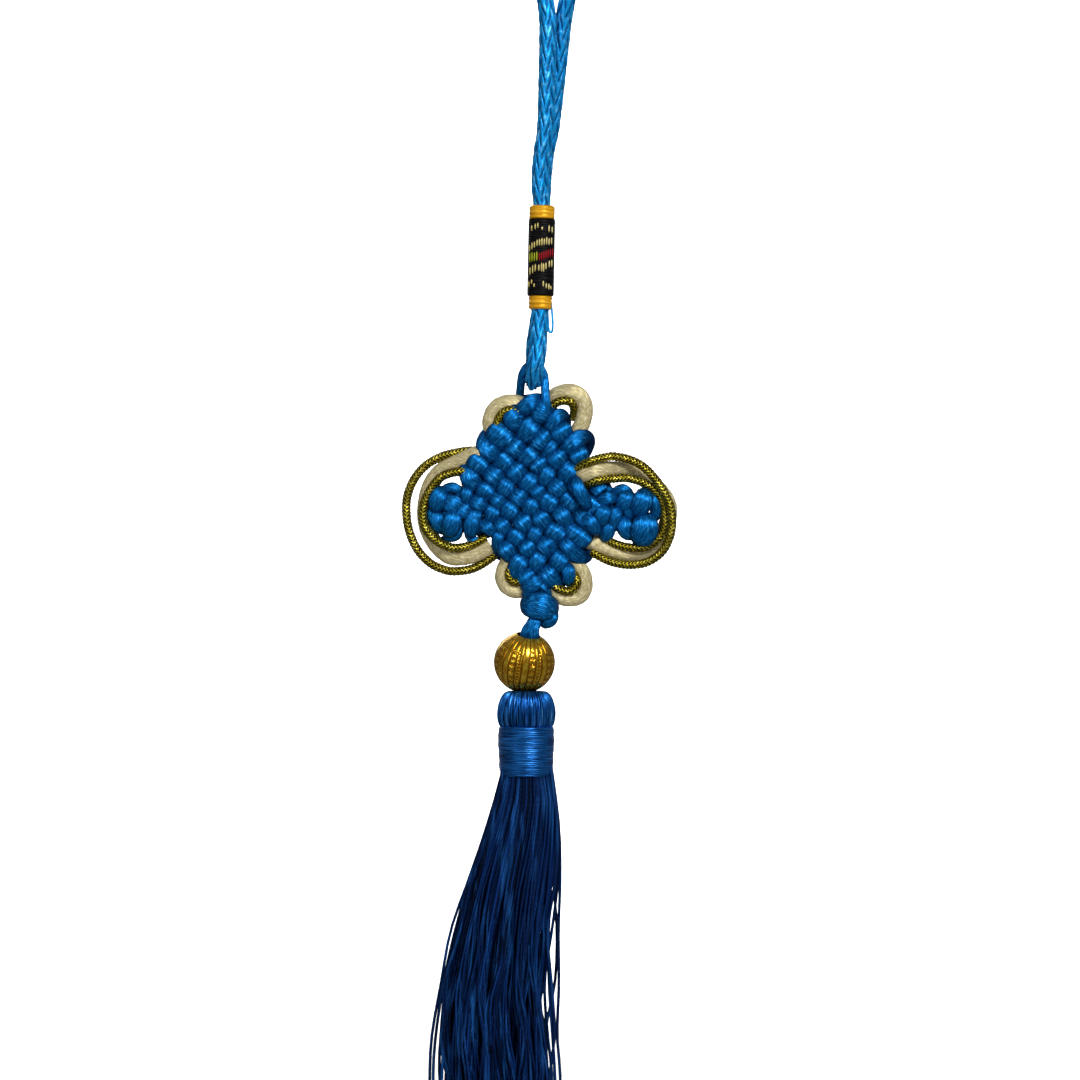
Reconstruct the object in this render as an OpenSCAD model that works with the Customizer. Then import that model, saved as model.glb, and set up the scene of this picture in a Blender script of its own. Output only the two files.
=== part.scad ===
// Norigae: a hanging ornament of knotted cord, a gold bead and a long tassel.
// Millimetres, +Z up, the front faces -Y. The origin is where the cord loop hangs on its peg.
// Rows of points are [x, y, z]. Those of the knot and of all below it count from the knot's middle.

/* [Hanging cord] */
// Diameter of the braided hanging cord
cord_d = 3.8; // [3.2:0.1:3.8]
// Spline steps between two points of the hanging cord's route
cord_steps = 2; // [1:1:2]

/* [Sleeve] */
// Width of the wrapped sleeve across the two cords
sleeve_w = 6.2; // [5.6:0.1:7]
// Depth of the wrapped sleeve from front to back
sleeve_d = 10.2; // [9.6:0.1:11]
// Length of the sleeve with its two yellow bands
sleeve_len = 23.8; // [16:0.1:30]
// Length of each yellow band
band_len = 3.2; // [2:0.1:5]
// Lean of the sleeve in degrees
sleeve_tilt = 1.1; // [0:0.1:1.5]

/* [Knot] */
// Height of the knot's middle under the hanging point
knot_drop = 175; // [175:1:175]
// How far the strands of the weave swing to the front and to the back
weave_depth = 1.65; // [1.65:0.05:1.75]
// Thickness of a flattened satin strand
strand_thick = 1.3; // [1.1:0.1:1.3]
// Share of the strand spacing that a strand's width fills
strand_fill = 0.75; // [0.7:0.01:0.75]
// Width of a strand halfway between two crossings, as a share of its full width
strand_waist = 0.35; // [0.3:0.05:0.35]
// Width of a strand halfway round a turn at the knot's edge, as a share of its full width
turn_waist = 0.45; // [0.4:0.05:0.45]
// Width of the thin satin cord in the knot's eye
eye_w = 1.6; // [1.4:0.1:1.6]
// Depth of the thin satin cord in the knot's eye
eye_d = 1.8; // [1.4:0.1:1.8]

/* [Loops] */
// Diameter of the cream satin cord
satin_d = 3.9; // [3.5:0.1:3.9]
// Diameter of the gold braid
gold_d = 2; // [1.6:0.1:2]

/* [Bead] */
// Diameter of the gold bead
bead_d = 14.2; // [12:0.1:14.2]
// Radius of the bead's bore
bore_r = 2.7; // [2.6:0.1:3]
// Nod of the bead to the front in degrees
bead_nod = 15; // [0:1:15]
// Lean of the bead to the side in degrees
bead_lean = 9; // [0:1:9]

/* [Tassel] */
// Largest radius of the tassel's head
head_r = 6.65; // [6:0.05:6.65]
// Outer radius of the wrapped band at its top
wrap_r = 6.45; // [6:0.05:6.45]
// Outer radius of the wrapped band at its foot
wrap_foot_r = 6.05; // [5.8:0.05:6.1]
// Locks around the fringe
locks = 16; // [10:1:20]
// Depth of the furrow between two locks as a share of the radius
lock_depth = 0.1; // [0.02:0.01:0.14]

/* [Hidden] */

front = [0, -1, 0];
knot_at = [-7, 0, -knot_drop];
cord_sides = 8;
strand_sides = 8;
loop_steps = 2;

// The hanging cord, from the frame's origin: down the front of the sleeve, round under the
// knot's eye, up the back, over the peg and down into the sleeve again.
hanging_route = [
    [-3.1, -2.1, -120], [-3.3, -2.1, -131], [-3.6, -2.7, -137], [-3.8, -3.4, -141],
    [-4.4, -3.8, -144.5], [-4.7, -2.7, -147], [-4.9, 0, -148], [-4.9, 2.7, -147],
    [-4.6, 3.8, -144.5], [-4.6, 3.4, -140], [-4.0, 2.6, -135.5], [-3.3, 2.1, -130.5],
    [-3.1, 2.1, -119], [-2.9, 2.1, -108], [-2.6, 2.0, -101], [-1.9, 2.0, -94.5],
    [-0.9, 1.9, -90], [0, 1.75, -83], [1.3, 1.4, -71.5], [2.1, 0.9, -64.5],
    [2.9, 0.3, -60], [4.2, 0, -50], [5.4, 0, -32], [6, 0, -15],
    [6, 0, -5], [4.2, 0, 0.2], [0, 0, 2], [-4.2, 0, 0.2],
    [-6, 0, -5], [-6, 0, -15], [-5, 0, -32], [-3.4, 0, -50],
    [-2.1, -0.3, -60], [-1.6, -0.9, -64.5], [-1.6, -1.4, -71.5], [-1.85, -1.75, -83],
    [-2.1, -1.9, -90], [-3.0, -2.0, -96.5], [-3.3, -2.1, -102.5], [-2.9, -2.1, -108],
    [-3.1, -2.1, -118]
];
sleeve_at = [-3.05, 0, -119.3];
sleeve_gap = 0.1;

// The eye of thin satin cord that stands out of the knot's top
eye_route = [
    [-0.8, 3.4, 22.4], [-0.9, 2.6, 24.6], [-0.8, 1.2, 26.8], [-0.6, 0.4, 28.6], [0.4, 0, 30.4],
    [2.1, 0, 31.1], [3.8, 0, 30.5], [4.8, 0.4, 28.6], [5.0, 1.2, 26.8], [5.1, 2.6, 24.4], [5.2, 3.4, 22]
];

// The diamond knot: strands a run down to the right and strands b up to the right, numbered
// -3 to 4. These tables give x and z where strand a of each column crosses strand b of each row.
cross_steps = [-3, -1, 2, 4];
// Columns: strand a -3, -1, 2 and 4
cross_x = [
    [-13.9, -12.1, -5.8, 0.9],
    [-8.4, -6.1, 1.0, 6.7],
    [-1.6, 2.5, 7.6, 12.6],
    [3.5, 7.8, 14.6, 17.7]
];
// Columns: strand a -3, -1, 2 and 4
cross_z = [
    [-2.8, 4.7, 14.7, 22.0],
    [-6.3, -0.3, 9.9, 18.1],
    [-14.8, -7.9, 2.8, 9.8],
    [-20.5, -14.2, -5.0, 1.8]
];
first = -3;
last = 4;
// How far the turns of two neighbouring strands stand out, in cells, counted along each edge
turns_top_left = [0.64, 0.6, 0.5, 0.68];
turns_bottom_right = [0.8, 0.8, 0.65];
turns_top_right = [0.6, 0.65, 0.9, 1.05];
turns_bottom_left = [1.2, 0.88, 0.56];
cell_steps = 3;
turn_steps = 4;

// The two side knots: middles of their four crossings, x and z, then the ends towards the
// diamond knot, x, y and z. The depth of the whole knot comes last
side_left = [
    [-18.0, -0.5], [-20.4, 0.2], [-18.4, -5.2], [-20.6, -4.7],
    [-16.6, 0, -0.8], [-16.4, 0, -5.6], -1.5
];
side_right = [
    [22.6, 0.2], [27.0, -0.4], [23.2, -6.0], [27.1, -6.2],
    [20.9, 0, -0.2], [21.0, 0, -5.4], 0.6
];

wing_cream_left_route = [
    [-15.2, 2, 7.9], [-17, 2.4, 7.4], [-19, 2.8, 6.4], [-20.7, 3, 4.6],
    [-22, 3, 2.1], [-22.7, 3, -1.8], [-22.5, 3, -5.5], [-21.4, 3, -8.5], [-19.6, 2.8, -11],
    [-17.3, 2, -12.8], [-15.2, 1.4, -13.2], [-12.4, 1, -12.8], [-10.3, 1, -11.8]
];
wing_gold_outer_left_route = [
    [-13.3, 0.9, 11.6], [-15.6, 1, 10.8], [-19.3, 1, 9.9], [-22.8, 1, 7.8], [-25.3, 1, 4.8],
    [-26.8, 1, 1.1], [-27.1, 1, -2.5], [-26.5, 1, -6.9], [-24.6, 1, -11.3], [-21.6, 1, -14.5],
    [-18.2, 1, -16.1], [-15.6, 1, -16.4], [-12.2, 1, -15.9], [-9.4, 1, -14.6], [-8.0, 1, -13.8]
];
wing_gold_inner_left_route = [
    [-14.9, -2.1, 6.6], [-17, -1.6, 6.1], [-19.6, -0.6, 5.0], [-21.9, -0.2, 2.9],
    [-23.4, -0.2, 0], [-23.9, -0.2, -3], [-23.4, -0.2, -5.8], [-21.8, -0.2, -8.1],
    [-19.4, -0.8, -9.8], [-16.7, -1.6, -10.9], [-14.3, -2.1, -10.9], [-11.8, -2.1, -10.3]
];
wing_cream_right_route = [
    [18.4, 3.6, 7.1], [20.2, 3.0, 7.1], [24.4, 2.4, 6.4], [28.1, 2.4, 4.6],
    [31.3, 2.4, 2.1], [33.2, 2.4, -0.9], [33.2, 2.4, -4.4], [32.1, 2.4, -7.6],
    [30.1, 2.4, -10.3], [27.1, 2.4, -12], [23.3, 2.2, -12.3], [19.9, 1.6, -11.5], [17.3, 1.2, -10.5]
];
wing_gold_outer_right_route = [
    [17.3, -2.2, 9.5], [18.6, -1.7, 9.8], [20.7, -1.3, 10], [24.4, -1.5, 9.2],
    [27.4, -1.8, 7.6], [29.9, -2.2, 5.1], [32, -2.5, 2.1], [33.6, -2.6, -1.6],
    [34, -2.6, -5.1], [33.4, -2.5, -8.7], [31.6, -2.2, -12], [28.5, -1.4, -14.2],
    [25.1, -0.6, -14.9], [21.6, -0.2, -14.6], [18.6, -0.2, -13.9]
];
wing_gold_inner_right_route = [
    [17.6, -1.6, 4.6], [20.2, -1.4, 4.8], [24, -1.2, 5], [27.6, -1.0, 3.9],
    [30.2, -1, 2.1], [31.9, -1, -0.5], [32.4, -1, -3.7], [32, -1, -6.9],
    [30.3, -0.9, -9.5], [27.5, -0.9, -10.9], [24, -0.9, -10.9], [21, -0.9, -10.1]
];

ear_cream_top_left_route = [
    [-3.4, 3.0, 24.0], [-4.7, 3.0, 23.3], [-6.5, 3.0, 21.7],
    [-7.9, 3.0, 19.7], [-8.7, 3.4, 17.6], [-8.9, 4.0, 16.9]
];
ear_gold_top_left_route = [
    [-2.9, -3.4, 21.1], [-4.3, -3.4, 20.6], [-5.6, -3.4, 19.4], [-6.4, -3.4, 17.6], [-6.3, -3.4, 16.0]
];
ear_cream_top_right_route = [
    [7.6, 1, 24.2], [9, 1, 24.8], [10.8, 1, 24.9], [12.7, 1, 24], [13.9, 1, 21.8],
    [13.8, 1, 19], [13.2, 1, 17.4]
];
ear_gold_top_right_route = [
    [6.4, -0.9, 21.3], [8.1, -1.0, 22.1], [9.8, -0.8, 22.3], [10.9, -0.2, 21.9]
];
ear_cream_bottom_left_route = [
    [-5.3, 1.1, -16.7], [-5.3, 1.1, -18.3], [-4.1, 1.2, -20.1], [-2.4, 1.5, -21.1], [-1.4, 1.9, -21.6]
];
ear_gold_bottom_left_route = [
    [-4.0, -2.1, -17.4], [-3.5, -2.1, -18.5], [-2.3, -2.1, -19.4], [-1.3, -2.1, -19.6]
];
ear_cream_bottom_right_route = [
    [11.9, 1, -14.7], [13.5, 1, -17], [13.9, 1, -19.8], [12.9, 1, -21.9], [10.8, 1, -22.6],
    [8.6, 1, -22.2]
];
ear_gold_bottom_right_route = [
    [7.8, -1.7, -19.9], [8.8, -1.7, -20.5], [10, -1.7, -20.8], [11.2, -1.7, -20.4], [12.0, -1.7, -19.2]
];

// The satin cord that carries the bead: out of the button knot, through the bead's slanted
// bore and into the tassel's head
drop_route = [
    [3.0, 0, -24.5], [2.7, -0.2, -27], [2.1, -0.9, -29], [1.4, -1.5, -31], [0.5, -0.6, -34.5],
    [0.0, 0, -37], [-0.6, 1.1, -41], [-0.8, 1.5, -43.2], [-0.4, 1.2, -44.6],
    [0.3, 0.3, -47], [0.6, 0.1, -49.5]
];
drop_w = 3.8;
drop_thick = 2.6;

button_at = [3.5, 0, -25];
button_tilt = 14;
button_hole_r = 2.35;
button_wall = 2.0;
button_h = 5.6;
button_facets = 14;
tail_r = 1.7;
tail_from = [5.4, 2.1, -26];
tail_to = [5.2, 2.1, -28.6];

bead_at = [0.1, 0, -37.3];
tassel_x = 0.5;
// The head's outline: radius and z
head_outline = [
    [3.0, -50], [3.6, -44.2], [4.1, -43.7], [4.7, -43.6], [5.4, -44.3], [6.2, -46.2],
    [head_r, -48.4], [head_r - 0.1, -50.4], [wrap_r - 0.15, -52], [3.0, -52]
];
wrap_top = -52.1;
wrap_foot = -63.2;
wrap_wall = 1;
wrap_gap = 0.1;
// The fringe: z, x of its middle, half width, half depth, share of the lock furrows
fringe_rows = [
    [-52.4, 0.5, wrap_r - wrap_wall - wrap_gap, wrap_r - wrap_wall - wrap_gap, 0],
    [wrap_foot, 0.5, wrap_foot_r - wrap_wall - wrap_gap, wrap_foot_r - wrap_wall - wrap_gap, 0],
    [-64, 0.5, 5.9, 5.9, 0.5], [-69, 0.4, 7.2, 6.6, 0.8], [-82, -1.3, 9.5, 7.6, 1],
    [-97, -4.6, 12.4, 8.6, 1], [-113, -6.4, 13.5, 9.4, 1], [-133, -6.7, 15, 10, 1],
    [-163, -6.2, 15.5, 10.4, 1], [-190, -6, 15.6, 10.6, 1]
];
fringe_points_per_lock = 3;
fringe_ragged = 3.4;

azure = "#1787d6";
sea_blue = "#0a62a8";
cream = "#d3c79e";
old_gold = "#a8981f";
bead_gold = "#c98f12";
navy = "#0f3f80";

function unit(v) = v / norm(v);
function spline(a, b, c, d, t) =
    b + (c - a) * t / 2 + (2 * a - 5 * b + 4 * c - d) * t * t / 2
    + (3 * b - a - 3 * c + d) * t * t * t / 2;

// A smooth open curve through the rows of a route, which may carry more columns than x, y, z
function smooth(route, steps) = let (n = len(route) - 1) [
    for (k = [0:n - 1])
        let (a = route[max(k - 1, 0)], b = route[k], c = route[k + 1], d = route[min(k + 2, n)])
        for (m = [0:steps - 1]) spline(a, b, c, d, m / steps),
    route[n]
];
// The same on a closed ring
function smooth_ring(route, steps) = let (n = len(route)) [
    for (k = [0:n - 1])
        let (a = route[(k + n - 1) % n], b = route[k], c = route[(k + 1) % n], d = route[(k + 2) % n])
        for (m = [0:steps - 1]) spline(a, b, c, d, m / steps)
];
function place(row) = [row.x, row.y, row.z];
function heading(rows, k, closed) = let (n = len(rows)) closed
    ? unit(place(rows[(k + 1) % n]) - place(rows[(k + n - 1) % n]))
    : unit(place(rows[min(k + 1, n - 1)]) - place(rows[max(k - 1, 0)]));

// The faces of a skin over rings of points, numbered from a first point, with flat ends unless
// the rings go all the way round
function skin_faces(rings, closed, at) = let (n = len(rings), s = len(rings[0])) concat(
    [
        for (k = [0:closed ? n - 1 : n - 2]) for (a = [0:s - 1])
            let (p = at + k * s + a, q = at + k * s + (a + 1) % s, up = at + ((k + 1) % n) * s)
            each [[p, q, up + (a + 1) % s], [p, up + (a + 1) % s, up + a]]
    ],
    closed ? [] : [
        [for (a = [s - 1:-1:0]) at + a],
        [for (a = [0:s - 1]) at + (n - 1) * s + a]
    ]
);
// One or two skins that stay clear of each other
module skins(first_rings, second_rings = [], second_closed = false) {
    polyhedron(
        points = [for (ring = concat(first_rings, second_rings)) each ring],
        faces = concat(
            skin_faces(first_rings, false, 0),
            second_rings == [] ? []
                : skin_faces(second_rings, second_closed, len(first_rings) * len(first_rings[0]))
        )
    );
}

// A flattened strand whose broad side faces the front; the rows' fourth column is its width
function strand_rings(rows, thick, closed) = [
    for (k = [0:len(rows) - 1])
        let (
            along = heading(rows, k, closed),
            side = unit(cross(along, front)),
            out = cross(side, along),
            end = !closed && (k == 0 || k == len(rows) - 1) ? 0.7 : 1
        )
        [for (a = [0:strand_sides - 1]) let (angle = 360 * (a + 0.5) / strand_sides)
            place(rows[k]) + end * (rows[k][3] / 2 * cos(angle) * side + thick / 2 * sin(angle) * out)]
];

// A cord of round section; its first side turns with the curve and never twists about it
module cord(rows, w, depth, start_side) {
    n = len(rows);
    headings = [for (k = [0:n - 1]) heading(rows, k, false)];
    sides = [
        for (k = 0, s = unit(start_side - (start_side * headings[0]) * headings[0]);
            k < n;
            k = k + 1, s = k < n ? unit(s - (s * headings[k]) * headings[k]) : s) s
    ];
    skins([
        for (k = [0:n - 1])
            let (across = cross(sides[k], headings[k]), end = k == 0 || k == n - 1 ? 0.75 : 1)
            [for (a = [0:cord_sides - 1]) let (angle = 360 * (a + 0.5) / cord_sides)
                place(rows[k]) + end * (w / 2 * cos(angle) * sides[k] + depth / 2 * sin(angle) * across)]
    ]);
}
module loop_cord(route, d) {
    translate(knot_at) cord(smooth(route, loop_steps), d, d, [0, 0, 1]);
}

module oval(w, d) {
    square([w, d - w], center = true);
    for (side = [-1, 1]) translate([0, side * (d - w) / 2]) circle(d = w, $fn = 48);
}
module sleeve_ring(w, d, from, to) {
    translate(sleeve_at) rotate([0, sleeve_tilt, 0]) translate([0, 0, from])
        linear_extrude(to - from) difference() {
            oval(w, d);
            oval(cord_d + 0.4, 2 * cord_d + 0.8);
        }
}
module hanging_cord() {
    color(azure) cord(smooth(hanging_route, cord_steps), cord_d, cord_d, [1, 0, 0]);
}
module sleeve_wrap() {
    half = sleeve_len / 2 - band_len - sleeve_gap;
    color("#17151a") sleeve_ring(sleeve_w, sleeve_d, -half, half);
}
module sleeve_band_top() {
    half = sleeve_len / 2;
    color("#e6a81c") sleeve_ring(sleeve_w - 0.3, sleeve_d - 0.3, half - band_len, half);
}
module sleeve_band_bottom() {
    half = sleeve_len / 2;
    color("#e6a81c") sleeve_ring(sleeve_w - 0.7, sleeve_d - 0.5, -half, band_len - half);
}

module knot_eye() {
    color(sea_blue) translate(knot_at) cord(smooth(eye_route, loop_steps), eye_w, eye_d, [1, 0, 0]);
}

// Where the strands cross, for any part of a cell: the cubic through the four rows or columns
function share(t, k, m = 0) = m > 3 ? 1
    : (m == k ? 1 : (t - cross_steps[m]) / (cross_steps[k] - cross_steps[m])) * share(t, k, m + 1);
function shares(t) = [for (k = [0:3]) share(t, k)];
function crossing(i, j) = [shares(i) * cross_x * shares(j), shares(i) * cross_z * shares(j)];
// Distance between neighbours of a strand, square to it
function spacing(i, j, di, dj) =
    let (over = crossing(i + dj / 2, j + di / 2) - crossing(i - dj / 2, j - di / 2),
        along = unit(crossing(i + di / 2, j + dj / 2) - crossing(i - di / 2, j - dj / 2)))
    abs(over.x * along.y - over.y * along.x);
function within(t) = min(last, max(first, t));
// A strand is at its widest on a crossing and narrower halfway to the next one or round a turn
function pinch(t, waist) = waist + (1 - waist) * abs(cos(180 * t));
function row_a(i, j) = let (c = crossing(i, j))
    [c.x, -weave_depth * cos(180 * (within(i) + j)), c.y,
        strand_fill * spacing(within(i), j, 1, 0) * pinch(within(i), strand_waist) * pinch(j, turn_waist)];
function row_b(i, j) = let (c = crossing(i, j))
    [c.x, weave_depth * cos(180 * (i + within(j))), c.y,
        strand_fill * spacing(i, within(j), 0, 1) * pinch(within(j), strand_waist) * pinch(i, turn_waist)];

// All eight strands a are one cord that goes to and fro; so are all eight strands b
rows_a = [
    for (n = [0:7])
        let (j = first + n, back = n % 2 == 0, from = back ? last : first, step = back ? -1 : 1,
            reach = back ? turns_top_left[n / 2] : turns_bottom_right[(n - 1) / 2])
        each concat(
            [for (k = [0:7 * cell_steps]) row_a(from + step * k / cell_steps, j)],
            n == 7 ? [] : [for (m = [1:turn_steps - 1]) let (turn = 180 * m / turn_steps)
                row_a(from + step * (7 + reach * sin(turn)), j + (1 - cos(turn)) / 2)]
        )
];
rows_b = [
    for (n = [0:7])
        let (i = last - n, up = n % 2 == 0, from = up ? first : last, step = up ? 1 : -1,
            reach = up ? turns_top_right[3 - n / 2] : turns_bottom_left[2 - (n - 1) / 2])
        each concat(
            [for (k = [0:7 * cell_steps]) row_b(i, from + step * k / cell_steps)],
            n == 7 ? [] : [for (m = [1:turn_steps - 1]) let (turn = 180 * m / turn_steps)
                row_b(i - (1 - cos(turn)) / 2, from + step * (7 + reach * sin(turn)))]
        )
];
module diamond_knot() {
    color(sea_blue) translate(knot_at) skins(
        strand_rings(concat([row_a(last + 0.5, first)], rows_a), strand_thick, false),
        strand_rings(concat([row_b(last, first - 0.5)], rows_b), strand_thick, false)
    );
}

// A side knot: a turned-back strand that comes from the diamond knot, woven with a ring.
// cells holds the crossings inner top, outer top, inner bottom and outer bottom
module side_knot(cells) {
    it = cells[0];
    ot = cells[1];
    ib = cells[2];
    ob = cells[3];
    h = weave_depth;
    row_gap = norm((it + ot - ib - ob) / 2);
    column_gap = norm((it + ib - ot - ob) / 2);
    across = strand_fill * row_gap;
    upright = strand_fill * column_gap;
    out = unit((ot + ob - it - ib) / 2);
    up = unit((it + ot - ib - ob) / 2);
    outer = (ot + ob) / 2 + out * column_gap * 0.62;
    top = (it + ot) / 2 + up * row_gap * 0.55;
    foot = (ib + ob) / 2 - up * row_gap * 0.55;
    turned = [
        concat(cells[4], [across * 0.7]),
        [it.x, -h, it.y, across],
        [(it.x + ot.x) / 2, 0, (it.y + ot.y) / 2, across * 0.5],
        [ot.x, h, ot.y, across],
        [ot.x * 0.3 + outer.x * 0.7, h * 0.7, ot.y * 0.75 + outer.y * 0.25, across * 0.5],
        [outer.x, 0, outer.y, column_gap * 0.45],
        [ob.x * 0.3 + outer.x * 0.7, -h * 0.7, ob.y * 0.75 + outer.y * 0.25, across * 0.5],
        [ob.x, -h, ob.y, across],
        [(ib.x + ob.x) / 2, 0, (ib.y + ob.y) / 2, across * 0.5],
        [ib.x, h, ib.y, across],
        concat(cells[5], [across * 0.7])
    ];
    ring = [
        [it.x, h, it.y, upright],
        [(it.x + ib.x) / 2, 0, (it.y + ib.y) / 2, upright * 0.5],
        [ib.x, -h, ib.y, upright],
        [ib.x * 0.75 + foot.x * 0.25, -h * 0.7, ib.y * 0.3 + foot.y * 0.7, upright * 0.6],
        [foot.x, 0, foot.y, upright * 0.5],
        [ob.x * 0.75 + foot.x * 0.25, h * 0.7, ob.y * 0.3 + foot.y * 0.7, upright * 0.6],
        [ob.x, h, ob.y, upright],
        [(ot.x + ob.x) / 2, 0, (ot.y + ob.y) / 2, upright * 0.5],
        [ot.x, -h, ot.y, upright],
        [ot.x * 0.75 + top.x * 0.25, -h * 0.7, ot.y * 0.3 + top.y * 0.7, upright * 0.6],
        [top.x, 0, top.y, upright * 0.5],
        [it.x * 0.75 + top.x * 0.25, h * 0.7, it.y * 0.3 + top.y * 0.7, upright * 0.6]
    ];
    translate(knot_at + [0, cells[6], 0]) skins(
        strand_rings(smooth(turned, 2), strand_thick, false),
        strand_rings(smooth_ring(ring, 2), strand_thick, true), true
    );
}
module side_knot_left() {
    color(sea_blue) side_knot(side_left);
}
module side_knot_right() {
    color(sea_blue) side_knot(side_right);
}

module wing_cream_left() { color(cream) loop_cord(wing_cream_left_route, satin_d); }
module wing_cream_right() { color(cream) loop_cord(wing_cream_right_route, satin_d); }
module wing_gold_outer_left() { color(old_gold) loop_cord(wing_gold_outer_left_route, gold_d); }
module wing_gold_outer_right() { color(old_gold) loop_cord(wing_gold_outer_right_route, gold_d); }
module wing_gold_inner_left() { color(old_gold) loop_cord(wing_gold_inner_left_route, gold_d); }
module wing_gold_inner_right() { color(old_gold) loop_cord(wing_gold_inner_right_route, gold_d); }
module ear_cream_top_left() { color(cream) loop_cord(ear_cream_top_left_route, satin_d); }
module ear_cream_top_right() { color(cream) loop_cord(ear_cream_top_right_route, satin_d); }
module ear_cream_bottom_left() { color(cream) loop_cord(ear_cream_bottom_left_route, satin_d); }
module ear_cream_bottom_right() { color(cream) loop_cord(ear_cream_bottom_right_route, satin_d); }
module ear_gold_top_left() { color(old_gold) loop_cord(ear_gold_top_left_route, gold_d); }
module ear_gold_top_right() { color(old_gold) loop_cord(ear_gold_top_right_route, gold_d); }
module ear_gold_bottom_left() { color(old_gold) loop_cord(ear_gold_bottom_left_route, gold_d); }
module ear_gold_bottom_right() { color(old_gold) loop_cord(ear_gold_bottom_right_route, gold_d); }

// The wrap of one cord round the two that leave the knot, with its tucked-in tail
module button_knot() {
    middle = button_hole_r + button_wall / 2;
    color(sea_blue) translate(knot_at) {
        translate(button_at) rotate([0, button_tilt, 0]) rotate_extrude($fn = 48)
            polygon([for (k = [0:button_facets - 1]) let (a = 360 * (k + 0.5) / button_facets)
                [middle + button_wall / 2 * cos(a), button_h / 2 * sin(a)]]);
        translate(tail_to) cylinder(r = tail_r, h = tail_from.z - tail_to.z, $fn = 32);
        translate(tail_to) sphere(r = tail_r, $fn = 32);
    }
}
module drop_cord() {
    color(sea_blue) translate(knot_at) cord(smooth(drop_route, 1), drop_w, drop_thick, [1, 0, 0]);
}
module gold_bead() {
    color(bead_gold) translate(knot_at + bead_at) rotate([bead_nod, bead_lean, 0]) difference() {
        sphere(d = bead_d, $fn = 64);
        cylinder(r = bore_r, h = bead_d + 2, center = true, $fn = 48);
    }
}

module tassel_head() {
    color(navy) translate(knot_at + [tassel_x, 0, 0]) rotate_extrude($fn = 48) polygon(head_outline);
}
module tassel_band() {
    color(navy) translate(knot_at + [tassel_x, 0, 0]) rotate_extrude($fn = 48) polygon([
        [wrap_r - wrap_wall, wrap_top], [wrap_r - 0.2, wrap_top], [wrap_r, wrap_top - 0.6],
        [wrap_foot_r, wrap_foot + 0.6], [wrap_foot_r - 0.2, wrap_foot],
        [wrap_foot_r - wrap_wall, wrap_foot]
    ]);
}
// One closed body from under the band to the ragged ends, with a furrow between the locks
module tassel_fringe() {
    n = locks * fringe_points_per_lock;
    foot = len(fringe_rows) - 1;
    rings = [
        for (k = [0:foot]) let (row = fringe_rows[k])
            [for (a = [0:n - 1])
                let (angle = 360 * a / n, lock = floor(a / fringe_points_per_lock),
                    furrow = a % fringe_points_per_lock == 0 ? lock_depth * row[4] : 0,
                    drop = k == foot ? fringe_ragged * sin(137 * lock) : 0)
                [row[1] + row[2] * (1 - furrow) * cos(angle),
                    row[3] * (1 - furrow) * sin(angle), row[0] + drop]]
    ];
    middle = len(rings) * n;
    color(navy) translate(knot_at) polyhedron(
        points = concat([for (ring = rings) each ring], [[fringe_rows[foot][1], 0, fringe_rows[foot][0] + 6]]),
        faces = concat(
            [[for (a = [n - 1:-1:0]) a]],
            [for (k = [0:foot - 1]) for (a = [0:n - 1])
                let (p = k * n + a, q = k * n + (a + 1) % n, r = p + n, s = q + n)
                each [[p, s, r], [p, q, s]]],
            [for (a = [0:n - 1]) [foot * n + a, foot * n + (a + 1) % n, middle]]
        )
    );
}

hanging_cord();
sleeve_wrap();
sleeve_band_top();
sleeve_band_bottom();
knot_eye();
diamond_knot();
side_knot_left();
side_knot_right();
wing_cream_left();
wing_cream_right();
wing_gold_outer_left();
wing_gold_outer_right();
wing_gold_inner_left();
wing_gold_inner_right();
ear_cream_top_left();
ear_cream_top_right();
ear_cream_bottom_left();
ear_cream_bottom_right();
ear_gold_top_left();
ear_gold_top_right();
ear_gold_bottom_left();
ear_gold_bottom_right();
button_knot();
drop_cord();
gold_bead();
tassel_head();
tassel_band();
tassel_fringe();
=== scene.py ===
"""A norigae: a hanging ornament of knotted cord, a gold bead and a long tassel.

Metres, +Z up, the front faces -Y, the origin where the cord loop hangs on its peg.
"""

import math

import bpy
import numpy as np
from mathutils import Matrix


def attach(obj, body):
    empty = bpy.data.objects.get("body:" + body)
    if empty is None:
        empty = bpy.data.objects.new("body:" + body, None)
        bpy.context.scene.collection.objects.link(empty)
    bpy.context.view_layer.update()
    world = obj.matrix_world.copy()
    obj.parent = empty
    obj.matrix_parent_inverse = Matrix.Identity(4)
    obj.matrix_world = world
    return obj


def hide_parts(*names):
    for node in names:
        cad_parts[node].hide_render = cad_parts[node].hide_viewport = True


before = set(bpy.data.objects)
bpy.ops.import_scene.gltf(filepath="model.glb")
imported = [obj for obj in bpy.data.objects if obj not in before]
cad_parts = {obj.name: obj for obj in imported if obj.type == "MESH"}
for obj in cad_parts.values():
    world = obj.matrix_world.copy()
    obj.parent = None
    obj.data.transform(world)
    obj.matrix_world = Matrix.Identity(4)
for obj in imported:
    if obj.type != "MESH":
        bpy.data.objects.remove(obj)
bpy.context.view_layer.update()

bl_info = {
    "name": "Norigae",
    "version": (1, 0, 0),
    "blender": (4, 5, 0),
    "location": "View3D > Sidebar > Norigae",
    "description": "Builds a norigae of knotted cord, a ribbed bead and a tassel",
    "category": "Add Mesh",
}

MM = 0.001
FRONT = np.array([0.0, -1.0, 0.0])
# The knot's middle. Rows of the knot and of all below it count from here, in millimetres
KNOT = np.array([-7.0, 0.0, -175.0])
TASSEL_X = 0.5

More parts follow.
